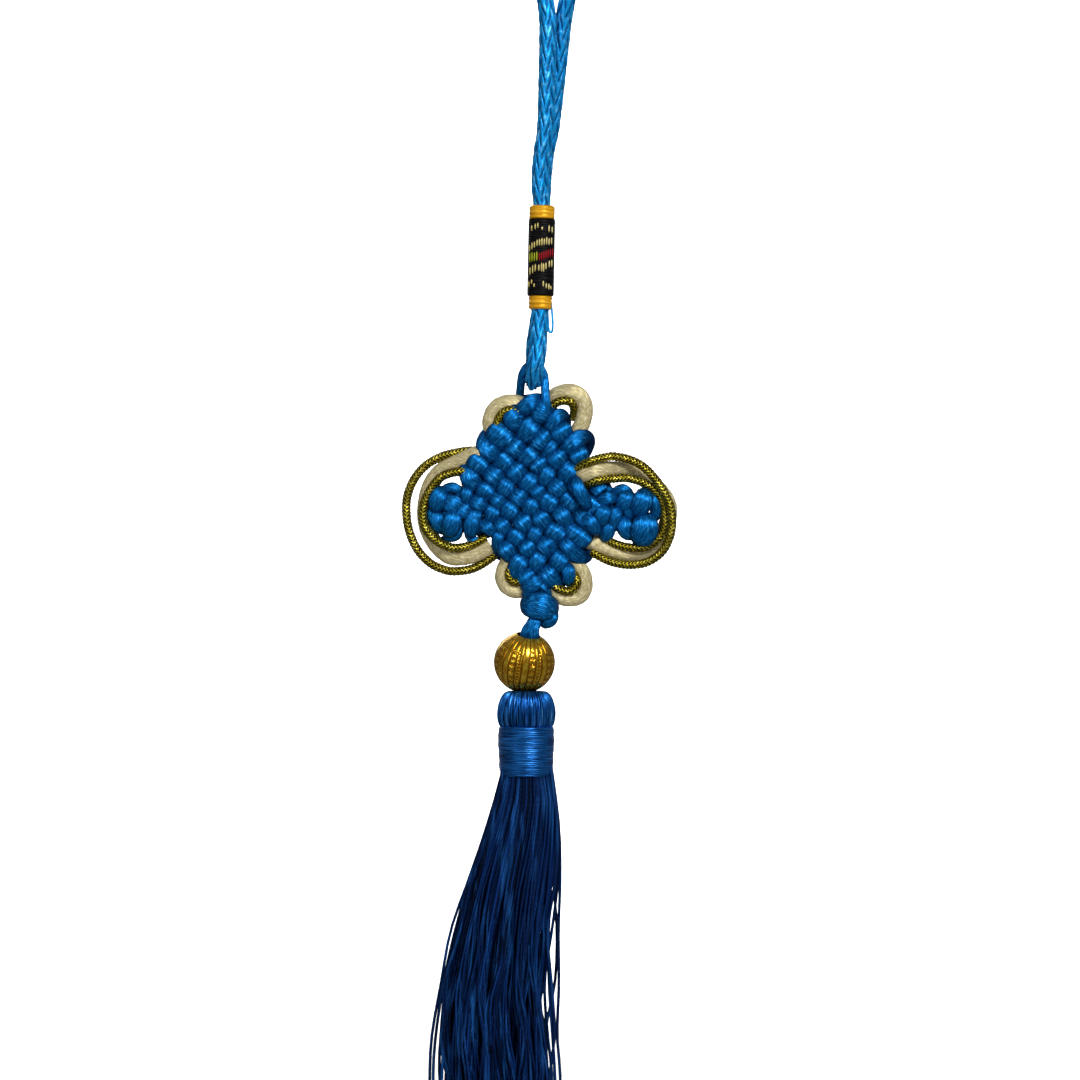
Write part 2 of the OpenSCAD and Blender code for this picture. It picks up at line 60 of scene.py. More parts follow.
# The hanging cord, in metres: down the front of the sleeve, round under the knot's eye, up the
# back, over the peg and down into the sleeve again
HANGING_ROUTE = np.array([
    (-0.0031, -0.0021, -0.120), (-0.0033, -0.0021, -0.131), (-0.0036, -0.0027, -0.137),
    (-0.0038, -0.0034, -0.141), (-0.0044, -0.0038, -0.1445), (-0.0047, -0.0027, -0.147),
    (-0.0049, 0.0, -0.148), (-0.0049, 0.0027, -0.147), (-0.0046, 0.0038, -0.1445),
    (-0.0046, 0.0034, -0.140), (-0.0040, 0.0026, -0.1355), (-0.0033, 0.0021, -0.1305),
    (-0.0031, 0.0021, -0.119), (-0.0029, 0.0021, -0.108), (-0.0026, 0.0020, -0.101),
    (-0.0019, 0.0020, -0.0945), (-0.0009, 0.0019, -0.090), (0.0, 0.00175, -0.083),
    (0.0013, 0.0014, -0.0715), (0.0021, 0.0009, -0.0645), (0.0029, 0.0003, -0.060),
    (0.0042, 0.0, -0.050), (0.0054, 0.0, -0.032), (0.006, 0.0, -0.015), (0.006, 0.0, -0.005),
    (0.0042, 0.0, 0.0002), (0.0, 0.0, 0.002), (-0.0042, 0.0, 0.0002), (-0.006, 0.0, -0.005),
    (-0.006, 0.0, -0.015), (-0.005, 0.0, -0.032), (-0.0034, 0.0, -0.050),
    (-0.0021, -0.0003, -0.060), (-0.0016, -0.0009, -0.0645), (-0.0016, -0.0014, -0.0715),
    (-0.00185, -0.00175, -0.083), (-0.0021, -0.0019, -0.090), (-0.0030, -0.0020, -0.0965),
    (-0.0033, -0.0021, -0.1025), (-0.0029, -0.0021, -0.108), (-0.0031, -0.0021, -0.118),
])

SLEEVE_AT = np.array([-3.05, 0.0, -119.3])
SLEEVE_TILT = math.radians(1.1)

EYE_ROUTE = [
    (-1.8, 3.0, 20.6), (-1.2, 2.6, 22.8), (-0.9, 1.9, 24.8), (-0.7, 0.9, 27.0), (-0.3, 0.3, 29.0),
    (0.7, 0.0, 30.6), (2.1, 0.0, 31.1), (3.5, 0.0, 30.6), (4.5, 0.0, 29.0), (4.8, -0.3, 27.0),
    (4.9, -1.0, 24.8), (5.1, -1.7, 22.6), (5.3, -1.4, 20.8), (5.5, 0.4, 19.4), (5.5, 2.0, 18.4),
]

# The diamond knot: where strand a of each column crosses strand b of each row, x and z
CROSS_STEPS = [-3, -1, 2, 4]
CROSS_X = np.array([
    (-13.9, -12.1, -5.8, 0.9), (-8.4, -6.1, 1.0, 6.7), (-1.6, 2.5, 7.6, 12.6), (3.5, 7.8, 14.6, 17.7),
])
CROSS_Z = np.array([
    (-2.8, 4.7, 14.7, 22.0), (-6.3, -0.3, 9.9, 18.1), (-14.8, -7.9, 2.8, 9.8), (-20.5, -14.2, -5.0, 1.8),
])
FIRST, LAST = -3, 4
# Points to each step of the weave and to each turn
PER_STEP = 10
# How far each turn reaches out, in steps of the weave, and how far back it leans per step
TURNS_TOP_LEFT = [0.4, 0.35, 0.3, 0.05]
TURNS_BOTTOM_RIGHT = [0.7, 0.7, 0.5]
TURNS_TOP_RIGHT = [0.35, 0.45, 0.75, 0.05]
TURNS_BOTTOM_LEFT = [0.45, 0.45, 0.45]
TURN_LEAN = 1.3

# Each turn of cord that shows in the side knots and the wrap knot: where it comes up from behind
# (x, z), where it dives again (x, z), how far it bows aside, its width, its middle's depth, its rise
WRAPS_LEFT = [
    (-18.8, 2.0, -14.4, 1.4, 1.1, 2.6, 0.6, 0.7), (-18.9, 2.0, -20.2, -2.0, -0.3, 4.2, -0.3, 1.7),
    (-18.2, -0.2, -14.7, -2.6, 0.3, 4.6, 0.0, 1.6), (-21.4, -1.4, -18.8, -7.2, -1.0, 2.3, 0.6, 0.8),
    (-20.2, -3.2, -18.8, -6.6, -0.4, 3.8, 0.2, 1.2), (-16.3, -3.0, -17.4, -7.6, 0.3, 4.5, -0.7, 1.8),
    (-15.1, -5.4, -18.0, -8.8, 1.5, 2.2, 0.4, 0.8), (-14.6, -0.6, -13.4, -6.4, 0.0, 3.6, 1.0, 1.0),
    (-11.3, -3.6, -12.2, -7.8, -0.4, 3.7, -0.3, 1.5), (-12.8, -8.4, -10.2, -9.2, -0.5, 2.0, 0.8, 0.8),
    (-15.4, 2.2, -12.8, -1.6, 0.3, 3.0, 1.0, 0.9), (-17.6, -1.6, -17.2, -5.0, 0.0, 3.6, 1.0, 0.9),
]
WRAPS_RIGHT = [
    (16.6, 2.6, 20.0, 2.2, 0.2, 2.2, 0.9, 0.7), (20.6, 1.6, 24.6, 1.1, 1.1, 2.5, 0.6, 0.9),
    (23.8, 1.4, 22.0, -1.3, 0.4, 4.2, 0.0, 1.6), (24.1, -1.0, 24.5, -3.8, -0.3, 3.0, 0.5, 1.1),
    (27.7, 1.6, 25.9, -2.6, 0.3, 5.0, -0.4, 2.0), (28.7, 1.2, 30.0, -4.2, 1.0, 2.9, 0.6, 0.9),
    (27.7, -4.0, 26.6, -9.5, 0.5, 6.4, -0.5, 2.0), (22.9, -4.6, 24.6, -8.0, -0.5, 4.1, 0.2, 1.4),
    (21.7, -2.4, 20.9, -6.0, -0.5, 3.2, 0.0, 1.5), (18.5, -1.9, 17.3, -5.0, 0.1, 4.0, -0.9, 1.6),
    (19.4, -5.4, 18.7, -8.6, 0.3, 3.4, 0.3, 1.3), (17.4, -0.2, 20.4, 0.6, 0.0, 3.2, -0.7, 1.4),
    (13.9, -4.2, 16.6, -7.1, 0.4, 3.3, -1.0, 1.5), (17.0, 1.0, 20.2, -2.4, 0.0, 3.6, 1.0, 0.9),
    (11.9, 4.5, 14.6, -1.2, -0.3, 3.3, -1.7, 1.7),
]
WRAPS_BUTTON = [
    (3.6, -18.4, 0.4, -20.1, 0.2, 3.7, -0.6, 1.5), (3.0, -20.9, 0.6, -21.5, 0.0, 2.8, 0.1, 1.3),
    (0.3, -24.0, 6.8, -25.0, 0.1, 6.5, 0.0, 2.4), (6.7, -26.2, 4.9, -28.4, 0.2, 3.5, 0.3, 1.1),
    (3.2, -19.9, 5.4, -22.4, 0.3, 3.2, 0.4, 1.0), (10.2, -15.4, 10.3, -18.7, 0.0, 3.4, 0.1, 1.3),
]

# The cream loops and the gold braids beside them
LOOPS_CREAM = {
    "wing_cream_left": [
        (-10.0, -0.2, 10.6), (-12.4, 0.2, 9.9), (-15.4, 1.2, 8.7), (-18.4, 1.9, 7.1), (-20.6, 2.2, 5.0),
        (-22, 2.2, 2.1), (-22.7, 2.2, -1.8), (-22.5, 2.2, -5.5), (-21.4, 2.2, -8.5), (-19.6, 2, -11),
        (-17.3, 1.6, -12.8), (-15.2, 1.2, -13.2), (-12.4, 1, -12.8), (-9.6, 1, -11.6), (-7.6, 1, -10.4),
    ],
    "wing_cream_right": [
        (12.2, 0.6, 5.0), (13.8, -1.2, 5.7), (15.9, -1.6, 6.3), (18.6, -0.4, 6.9), (21.6, 1.2, 6.9),
        (24.6, 2.2, 6.3), (28.1, 2.4, 4.6),
        (31.3, 2.4, 2.1), (33.2, 2.4, -0.9), (33.2, 2.4, -4.4), (32.1, 2.4, -7.6), (30.1, 2.4, -10.3),
        (27.1, 2.4, -12), (23.3, 2, -12.3), (19.9, 1.6, -11.5), (16.6, 1.2, -10.1), (14.2, 1.0, -9.0),
    ],
    "ear_cream_top_left": [
        (0.6, 1.5, 21.6), (-1.6, 1.5, 22.3), (-3.8, 1.4, 22.4), (-5.9, 1.3, 21.6), (-7.3, 1.3, 19.7),
        (-7.7, 1.3, 17.2), (-6.9, 1.3, 14.8), (-5.2, 1.2, 12.8),
    ],
    "ear_cream_top_right": [
        (4.2, 1.9, 21.0), (6.0, 1.7, 23.0), (8.2, 1.3, 24.5), (10.6, 1, 24.9), (12.7, 1, 24),
        (13.9, 1, 21.8), (13.8, 1, 19), (12.8, 1, 16.4), (11.2, 1, 14.4),
    ],
    "ear_cream_bottom_left": [
        (-3.0, 1, -13.4), (-4.4, 1, -15.8), (-4.8, 1, -18), (-3.8, 1, -19.9), (-1.8, 1, -20.7),
        (0.6, 1, -20.2), (2.2, 1, -18.8),
    ],
    "ear_cream_bottom_right": [
        (9.8, 1, -12.4), (11.8, 1, -14.7), (13.5, 1, -17), (13.9, 1, -19.8), (12.9, 1, -21.9),
        (10.8, 1, -22.6), (8.4, 1, -22.2), (6.4, 1, -20.6), (4.8, 1, -18.6),
    ],
}
LOOPS_GOLD = {
    "wing_gold_outer_left": [
        (-10.8, 0.8, 11.4), (-13.3, 0.9, 11.3), (-16.2, 1, 10.8), (-19.3, 1, 9.9), (-22.8, 1, 7.8),
        (-25.3, 1, 4.8), (-26.8, 1, 1.1), (-27.1, 1, -2.5), (-26.5, 1, -6.9), (-24.6, 1, -11.3),
        (-21.6, 1, -14.5), (-18.2, 1, -16.1), (-15.6, 1, -16.4), (-12.2, 1, -15.9), (-9.4, 1, -14.6),
        (-6.6, 1, -12.6),
    ],
    "wing_gold_outer_right": [
        (11.0, 0.2, 6.4), (12.6, -1.8, 7.5), (14.2, -3.0, 8.3), (16.0, -3.0, 9.1), (18.2, -2.4, 9.7),
        (20.7, -1.8, 10),
        (24.4, -1.8, 9.2), (27.4, -2, 7.6), (29.9, -2.2, 5.1), (32, -2.5, 2.1), (33.6, -2.6, -1.6),
        (34, -2.6, -5.1), (33.4, -2.5, -8.7), (31.6, -2.2, -12), (28.5, -1.4, -14.2),
        (25.1, -0.6, -14.9), (21.6, 0, -14.6), (18.6, 0.2, -13.6), (15.4, 0.4, -11.8),
    ],
    "wing_gold_inner_left": [
        (-11.6, -0.4, 6.2), (-14.4, -1.2, 6.5), (-17, -1.4, 6.1), (-19.4, -1.5, 5.0), (-21.2, -1.5, 2.9),
        (-22.7, -1.5, 0), (-23.3, -1.5, -3), (-22.9, -1.5, -5.8), (-21.5, -1.5, -8.1),
        (-19.4, -1.4, -9.8), (-16.7, -1.2, -10.9), (-14.3, -1.0, -10.9), (-11.4, -0.6, -10.0),
        (-8.8, -0.2, -8.6),
    ],
    "wing_gold_inner_right": [
        (13.4, 0.2, 2.8), (14.8, -1.8, 3.8), (16.4, -2.8, 4.4), (18.2, -2.4, 4.7), (20.6, -1.6, 4.9),
        (24, -1.1, 5),
        (27.6, -1.0, 3.9), (30.2, -0.9, 2.1), (31.9, -0.9, -0.5), (32.4, -0.9, -3.7), (32, -0.9, -6.9),
        (30.3, -0.9, -9.5), (27.5, -0.6, -10.9), (24, -0.2, -10.9), (21, 0, -10.1), (18, 0.2, -8.8),
    ],
    "ear_gold_top_left": [
        (-0.6, -0.6, 19.6), (-2.4, -0.8, 20.6), (-4.2, -0.9, 20.4), (-5.5, -0.9, 19.2),
        (-6.2, -0.9, 17.4), (-5.7, -0.8, 15.6), (-4.4, -0.4, 14.0),
    ],
    "ear_gold_top_right": [
        (4.9, 0.4, 19.6), (5.8, -0.4, 20.9), (7.2, -0.9, 22.2), (8.8, -0.9, 22.8), (10.4, -0.7, 22.6),
        (11.4, 0.1, 21.6), (11.5, 1.2, 20.2), (11.2, 2.0, 18.6),
    ],
    "ear_gold_bottom_left": [
        (-2.6, -0.4, -14.6), (-3.5, -0.8, -16.6), (-3.2, -0.9, -18.1), (-2.0, -0.9, -18.9),
        (0.2, -0.7, -18.6), (2.0, -0.2, -17.4),
    ],
    "ear_gold_bottom_right": [
        (5.6, -0.2, -18.6), (7.2, -0.8, -20), (8.6, -1.0, -20.7), (10, -1.1, -21), (11.4, -1.1, -20.4),
        (12.2, -0.9, -18.8), (11.6, -0.3, -16.8),
    ],
}

# The cord through the bead: x, y, z and width
DROP_ROUTE = [
    (3.2, 0.4, -24.0, 2.8), (2.9, -0.6, -26.4, 3.0), (2.3, -1.3, -28.2, 3.4), (1.6, -1.7, -29.8, 4.1),
    (1.3, -1.7, -31.2, 4.6), (0.6, -0.9, -33.6, 4.0), (0.0, 0, -37, 3.6), (-0.6, 1.0, -40.6, 3.6),
    (-0.7, 1.3, -43.2, 3.6), (-0.3, 1.0, -44.8, 3.4), (0.3, 0.3, -47, 3.0),
]
BEAD_AT = np.array([0.1, 0.0, -37.3])

# The fringe's body: z, x of its middle, half width, half depth
FRINGE_ROWS = np.array([
    (-53.0, 0.5, 5.0, 5.0), (-63.2, 0.6, 5.4, 5.0), (-65.5, 0.7, 6.0, 5.6), (-69, 0.5, 6.7, 6.2),
    (-76, -0.6, 7.8, 6.8), (-82, -1.8, 8.6, 7.2), (-89, -3.3, 9.4, 7.7), (-97, -4.7, 10.0, 8.2),
    (-105, -5.8, 10.6, 8.6), (-113, -6.6, 11.2, 9.0), (-133, -5.8, 12.4, 9.6), (-163, -5.6, 13.2, 10),
    (-190, -5.4, 13.4, 10.2),
])
# Threads that stand off from the body: x at each height of the first row, then y
STRAY_HEIGHTS = [-56, -63, -75, -87, -99, -111, -123, -133, -150, -170, -189]
STRAYS = [
    (-4.2, -5.2, -8.6, -12.7, -16.9, -19.1, -21.2, -21.7, -21.6, -20.9, -20.4, -0.5),
    (-4.2, -5.2, -8.3, -12.4, -15.9, -18.5, -20.3, -20.9, -20.4, -19.9, -19.0, -1.2),
    (-4.1, -5.1, -7.9, -12.0, -15.0, -17.7, -17.9, -16.8, -18.4, -18.9, -18.6, -1.8),
    (-4.1, -5.1, -8.1, -12.2, -15.3, -18.0, -19.2, -19.5, -17.9, -17.6, -18.2, 1.6),
    (-4.0, -5.0, -7.6, -11.4, -15.6, -17.2, -18.6, -18.0, -19.6, -20.0, -19.4, 2.4),
    (-4.0, -4.9, -7.4, -11.8, -14.6, -18.3, -18.4, -18.9, -19.0, -17.4, -16.8, -2.6),
    (5.3, 6.5, 8.0, 8.3, 7.9, 8.0, 7.6, 8.3, 8.0, 7.2, 7.4, -0.4),
    (5.2, 6.4, 7.5, 6.3, 5.6, 5.7, 6.5, 7.1, 7.4, 8.0, 7.6, -1.4),
    (5.2, 6.5, 7.9, 7.8, 6.4, 4.7, 5.4, 6.4, 6.2, 7.0, 7.9, 1.2),
    (5.1, 6.3, 7.3, 6.8, 7.5, 7.1, 4.8, 5.4, 6.8, 6.6, 6.0, 2.2),
    (5.1, 6.3, 7.6, 7.2, 5.4, 6.3, 7.0, 5.8, 5.4, 6.4, 6.9, -2.2),
]
# A loose yarn of the hanging cord that hangs out under the sleeve, in millimetres
LOOSE_END = [
    (-1.5, -1.6, -129.5), (-1.6, -1.8, -131.5), (-1.5, -1.9, -134.0), (-1.3, -1.9, -136.0),
    (-0.9, -1.9, -136.5), (-0.5, -1.8, -136.1), (-0.4, -1.7, -134.0), (-0.6, -1.5, -131.5),
    (-0.8, -1.4, -129.5),
]

# Stitches on the sleeve: x from its middle, foot and head above its middle
STITCHES_GOLD = [
    (-2.3, 5.9, 7.2), (-1.5, 6.2, 7.6), (-0.9, 6.6, 7.8), (0.1, 6.1, 6.9), (1.7, 5.7, 7.3), (2.4, 5.5, 7.0),
    (-2.7, 1.2, 2.7), (-2.15, 1.6, 3.3), (-1.6, 2.0, 3.5), (-1.0, 2.4, 3.9), (-0.45, 2.5, 4.1),
    (0.1, 2.5, 4.3), (0.65, 2.7, 4.2), (1.2, 2.8, 4.6), (1.75, 2.7, 4.3), (2.3, 2.9, 4.5),
    (-2.5, -4.2, -2.4), (-1.9, -3.9, -1.9), (-1.3, -3.4, -1.7), (-0.5, -3.3, -1.8), (0.15, -3.4, -1.4),
    (0.6, -3.5, -1.5), (1.15, -2.9, -1.3), (1.9, -2.4, -0.8), (2.45, -2.3, -0.6), (-2.7, -7.0, -5.6),
    (-2.1, -6.3, -5.2), (-1.5, -7.0, -6.1), (0.6, -6.9, -5.5), (1.3, -7.3, -6.0), (1.9, -7.5, -6.1),
    (2.35, -7.4, -6.6),
]
STITCHES_GREEN = [(-2.6, -1.3, 0.9), (-2.1, -1.2, 1.1), (-1.55, -1.1, 1.0), (-1.0, -1.0, 1.2)]
STITCHES_RED = [
    (-0.4, -1.0, 0.9), (0.1, -0.9, 1.1), (0.6, -0.7, 1.3), (1.1, -0.5, 1.5), (1.6, -0.3, 1.7),
    (2.1, -0.1, 1.9), (2.6, 0.0, 2.0),
]


def linear(code):
    """An sRGB hex colour as linear red, green and blue."""
    part = [int(code[k : k + 2], 16) / 255 for k in (1, 3, 5)]
    return tuple(c / 12.92 if c <= 0.04045 else ((c + 0.055) / 1.055) ** 2.4 for c in part)


def unit(v):
    return v / np.maximum(np.linalg.norm(v, axis=-1, keepdims=True), 1e-12)


def ramp(x, low, high):
    """0 below low, 1 above high, and a smooth S between them."""
    t = np.clip((x - low) / (high - low), 0, 1)
    return t * t * (3 - 2 * t)


def flow(rows, steps, closed=False):
    """A curve through rows of any columns: between two rows b and c, with neighbours a and d,
    half of (2b + (c - a) t + (2a - 5b + 4c - d) t squared + (3b - a - 3c + d) t cubed)."""
    rows = np.asarray(rows, float)
    if closed:
        a, b, c, d = (np.roll(rows, k, axis=0) for k in (1, 0, -1, -2))
    else:
        rows = np.vstack([rows[:1], rows, rows[-1:]])
        a, b, c, d = rows[:-3], rows[1:-2], rows[2:-1], rows[3:]
    t = (np.arange(steps) / steps)[None, :, None]
    a, b, c, d = (q[:, None] for q in (a, b, c, d))
    curve = b + (c - a) * t / 2 + (2 * a - 5 * b + 4 * c - d) * t**2 / 2
    curve = (curve + (3 * b - a - 3 * c + d) * t**3 / 2).reshape(-1, rows.shape[1])
    return curve if closed else np.vstack([curve, rows[-1:]])


def distance_along(path):
    """Length from the path's start to each of its points."""
    return np.concatenate([[0], np.cumsum(np.linalg.norm(np.diff(path[:, :3], axis=0), axis=1))])


def even(curve, gap, closed=False):
    """The same curve with its points spaced evenly, about gap apart."""
    curve = np.vstack([curve, curve[:1]]) if closed else curve
    s = distance_along(curve)
    count = max(int(round(s[-1] / gap)), 4)
    at = np.linspace(0, s[-1], count + 1)
    made = np.stack([np.interp(at, s, column) for column in curve.T], axis=1)
    return made[:-1] if closed else made


def smoothed(values):
    """Twice over, each value becomes a quarter of both neighbours and twice itself."""
    for _ in range(2):
        middle = (values[:-2] + 2 * values[1:-1] + values[2:]) / 4
        values = np.vstack([values[:1], middle, values[-1:]])
    return values


def circle(count):
    """Angles spaced evenly round a circle."""
    return 2 * math.pi * np.arange(count) / count


def facing_sides(path):
    """Two directions square to the path: across it, and out of its side that faces the front."""
    along = unit(np.gradient(path[:, :3], axis=0))
    across = unit(np.cross(along, FRONT))
    return across, np.cross(across, along)


def carried_sides(path, start):
    """The same for any path: the first direction is carried along it and never twists."""
    along = unit(np.gradient(path[:, :3], axis=0))
    across = np.empty_like(along)
    held = np.asarray(start, float)
    for k, t in enumerate(along):
        held = held - held.dot(t) * t
        held /= np.linalg.norm(held)
        across[k] = held
    return across, np.cross(across, along)


def round_section(sides, width, depth, power=2.0):
    """Points of a rounded section: width/2 times cosine and depth/2 times sine, each raised to
    2/power, so that 2 is an ellipse and more is squarer. Widths may differ along a path."""
    angle = circle(sides)
    c, s = np.cos(angle), np.sin(angle)
    c, s = (np.sign(q) * np.abs(q) ** (2 / power) for q in (c, s))
    width, depth = np.broadcast_arrays(np.atleast_1d(width), np.atleast_1d(depth))
    return np.stack([width[:, None] / 2 * c, depth[:, None] / 2 * s], axis=-1)


def along_path(path, section, across, out):
    """A section carried along a path: the point at each step plus section x across, y out."""
    return path[:, None, :3] + section[..., :1] * across[:, None] + section[..., 1:] * out[:, None]


def ring_faces(count, rings, sides, closed, at):
    """Corner numbers and (ring, side) places of the four-sided faces of count tubes."""
    t, k, a = np.meshgrid(
        np.arange(count), np.arange(rings if closed else rings - 1), np.arange(sides), indexing="ij"
    )
    t, k, a = t.ravel(), k.ravel(), a.ravel()
    places = [(k, a), (k + 1, a), (k + 1, a + 1), (k, a + 1)]
    corners = np.stack([at + t * rings * sides + (p % rings) * sides + q % sides for p, q in places], 1)
    return corners, t, places


def piece(name, tubes, finish, closed=False, stitch=None):
    """One mesh of closed tubes. Each of tubes is an array (rings, sides, 3), or many at once
    (count, rings, sides, 3), in millimetres. Open tubes get a point at each end; closed ones run
    round. The UV map holds millimetres along and around, and stitch a number at every point, 1
    where none is given."""
    points, faces3, faces4, uv3, uv4, marks = [], [], [], [], [], []
    at = 0
    for index, grid in enumerate(tubes):
        grid = grid if grid.ndim == 4 else grid[None]
        count, rings, sides, _ = grid.shape
        step = np.linalg.norm(np.diff(grid, axis=1), axis=-1).mean(2)
        if closed:
            step = np.hstack([step, np.linalg.norm(grid[:, :1] - grid[:, -1:], axis=-1).mean(2)])
        u = np.hstack([np.zeros((count, 1)), np.cumsum(step, axis=1)])
        around = np.linalg.norm(grid - np.roll(grid, -1, 2), axis=-1).sum(2).mean(1)
        corners, t, places = ring_faces(count, rings, sides, closed, at)
        faces4.append(corners)
        uv4.append(np.stack([np.stack([u[t, k], around[t] * a / sides], -1) for k, a in places], 1))
        points.append(grid.reshape(-1, 3))
        mark = np.broadcast_to(1.0 if stitch is None else stitch[index], grid.shape[:3])
        marks.append(mark.ravel())
        at += count * rings * sides
        if not closed:
            base = at - count * rings * sides
            t, a = (q.ravel() for q in np.meshgrid(np.arange(count), np.arange(sides), indexing="ij"))
            for ring, order in ((0, (0, 1)), (rings - 1, (1, 0))):
                edge = [base + t * rings * sides + ring * sides + (a + q) % sides for q in order]
                faces3.append(np.stack([edge[0], edge[1], at + t], 1))
                pair = [np.stack([u[t, ring], around[t] * (a + q) / sides], -1) for q in (*order, 0.5)]
                uv3.append(np.stack(pair, 1))
                points.append(grid[:, ring].mean(1))
                marks.append(mark.reshape(count, rings, sides)[:, ring].mean(1))
                at += count
    co = np.concatenate(points) * MM
    quads = np.concatenate(faces4)
    tris = np.concatenate(faces3) if faces3 else np.zeros((0, 3), int)
    quad_uv = np.concatenate(uv4)
    tri_uv = np.concatenate(uv3) if uv3 else np.zeros((0, 3, 2))
    a, b, c, d = (co[quads[:, k]] for k in range(4))
    size = sum(np.einsum("ij,ij->i", a, np.cross(*pair)).sum() for pair in ((b, c), (c, d)))
    if len(tris):
        size += np.einsum("ij,ij->i", co[tris[:, 0]], np.cross(co[tris[:, 1]], co[tris[:, 2]])).sum()
    if size < 0:
        quads, tris, quad_uv, tri_uv = (q[:, ::-1] for q in (quads, tris, quad_uv, tri_uv))
    mesh = bpy.data.meshes.new(name)
    mesh.vertices.add(len(co))
    mesh.vertices.foreach_set("co", co.ravel())
    loops = np.concatenate([quads.ravel(), tris.ravel()])
    mesh.loops.add(len(loops))
    mesh.loops.foreach_set("vertex_index", loops.astype(np.int32))
    starts = np.concatenate([np.arange(len(quads)) * 4, len(quads) * 4 + np.arange(len(tris)) * 3])
    mesh.polygons.add(len(starts))
    mesh.polygons.foreach_set("loop_start", starts.astype(np.int32))
    mesh.polygons.foreach_set("use_smooth", np.ones(len(starts), bool))
    layer = mesh.uv_layers.new(name="along_around")
    uv = np.concatenate([quad_uv.reshape(-1, 2), tri_uv.reshape(-1, 2)])
    layer.uv.foreach_set("vector", uv.ravel().astype(np.float32))
    mesh.attributes.new("stitch", "FLOAT", "POINT")
    mesh.attributes["stitch"].data.foreach_set("value", np.concatenate(marks).astype(np.float32))
    mesh.update(calc_edges=True)
    mesh.validate()
    mesh.materials.append(finish)
    made = bpy.data.objects.new(name, mesh)
    bpy.context.scene.collection.objects.link(made)
    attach(made, "root")
    return made


def plait(path, across, out, radius, relief, stitch, columns, sides, lean, phase, front):
    """A plaited cord. Columns run along it; in each, strands slant in from both edges and dive
    under each other at its middle; front is the angle at which a column's middle lies. The
    radius gains relief times a half round across each strand, less towards the column's edges.
    Also gives the strand's crown: 1 along its middle and 0 at its edges."""
    x = ((np.arange(sides) / sides - front / (2 * math.pi)) * columns + 0.5) % 1 * 2 - 1
    y = phase[:, None] / stitch
    left = (y - lean * (1 + x)) % 1
    right = (y - lean * (1 - x) + 0.5) % 1
    climb = 0.5 + 0.5 * (1 - np.abs(x))
    high_left = np.sqrt(np.clip(1 - (2 * left - 1) ** 2, 0, 1)) * climb * (1 - ramp(x, -0.1, 0.3))
    high_right = np.sqrt(np.clip(1 - (2 * right - 1) ** 2, 0, 1)) * climb * ramp(x, -0.3, 0.1)
    swell = radius - relief + relief * np.maximum(high_left, high_right)
    angle = circle(sides)
    section = np.stack([swell * np.cos(angle), swell * np.sin(angle)], -1)
    # The crown sets painted shade at the strands' edges and painted highlights along their middles in the
    # cord's and the braid's finishes.
    crown = np.sin(math.pi * np.where(high_left > high_right, left, right))
    return along_path(path, section, across, out), crown


def add(tree, kind, *links, **settings):
    """Adds a node of a kind, with its settings, and links or sets its inputs."""
    made = tree.nodes.new(kind)
    for name, value in settings.items():
        setattr(made, name, value)
    for entry, value in links:
        if isinstance(value, bpy.types.NodeSocket):
            tree.links.new(value, made.inputs[entry])
        else:
            made.inputs[entry].default_value = value
    return made


def bare_material(name):
    made = bpy.data.materials.new(name)
    made.use_nodes = True
    made.node_tree.nodes.clear()
    return made, made.node_tree


def spread(tree, value, low, high, first=0.0, last=1.0):
    """The span of a value from low to high laid over first to last, and held beyond them."""
    return add(
        tree, "ShaderNodeMapRange", ("Value", value), ("From Min", low), ("From Max", high),
        ("To Min", first), ("To Max", last),
    ).outputs[0]


def blend(tree, share, first, second):
    """The first colour where the share is 0, the second where it is 1."""
    ends = (q if isinstance(q, bpy.types.NodeSocket) else (*q, 1) for q in (first, second))
    return add(tree, "ShaderNodeMix", (0, share), *zip((6, 7), ends), data_type="RGBA").outputs[2]


def reckon(tree, operation, *values):
    """One sum of the values: the operation is a Math node's."""
    return add(tree, "ShaderNodeMath", *enumerate(values), operation=operation).outputs[0]


def stitch_value(tree):
    return add(tree, "ShaderNodeAttribute", attribute_name="stitch").outputs["Fac"]


def along_around(tree):
    return add(tree, "ShaderNodeUVMap", uv_map="along_around").outputs[0]


def object_place(tree):
    return add(tree, "ShaderNodeTexCoord").outputs["Object"]


def mottle(tree, vector, scale, detail):
    return add(
        tree, "ShaderNodeTexNoise", ("Vector", vector), ("Scale", scale), ("Detail", detail)
    ).outputs[0]


def silky(tree, spread_out, turned):
    """A shine drawn out along or across the fibres, which follow the UV map."""
    run = add(tree, "ShaderNodeTangent", direction_type="UV_MAP", uv_map="along_around")
    return (
        ("Specular IOR Level", 0.08), ("Anisotropic", spread_out), ("Anisotropic Rotation", turned),
        ("Tangent", run.outputs[0]),
    )


def surfaced(made, colour, height, strength, distance, *looks):
    """Ends a material: its colour and other looks, over bumps of the height."""
    tree = made.node_tree
    bump = add(
        tree, "ShaderNodeBump", ("Height", height), ("Strength", strength), ("Distance", distance)
    )
    shader = add(
        tree, "ShaderNodeBsdfPrincipled", ("Base Color", colour), ("Normal", bump.outputs[0]), *looks
    )
    add(tree, "ShaderNodeOutputMaterial", ("Surface", shader.outputs[0]))
    return made


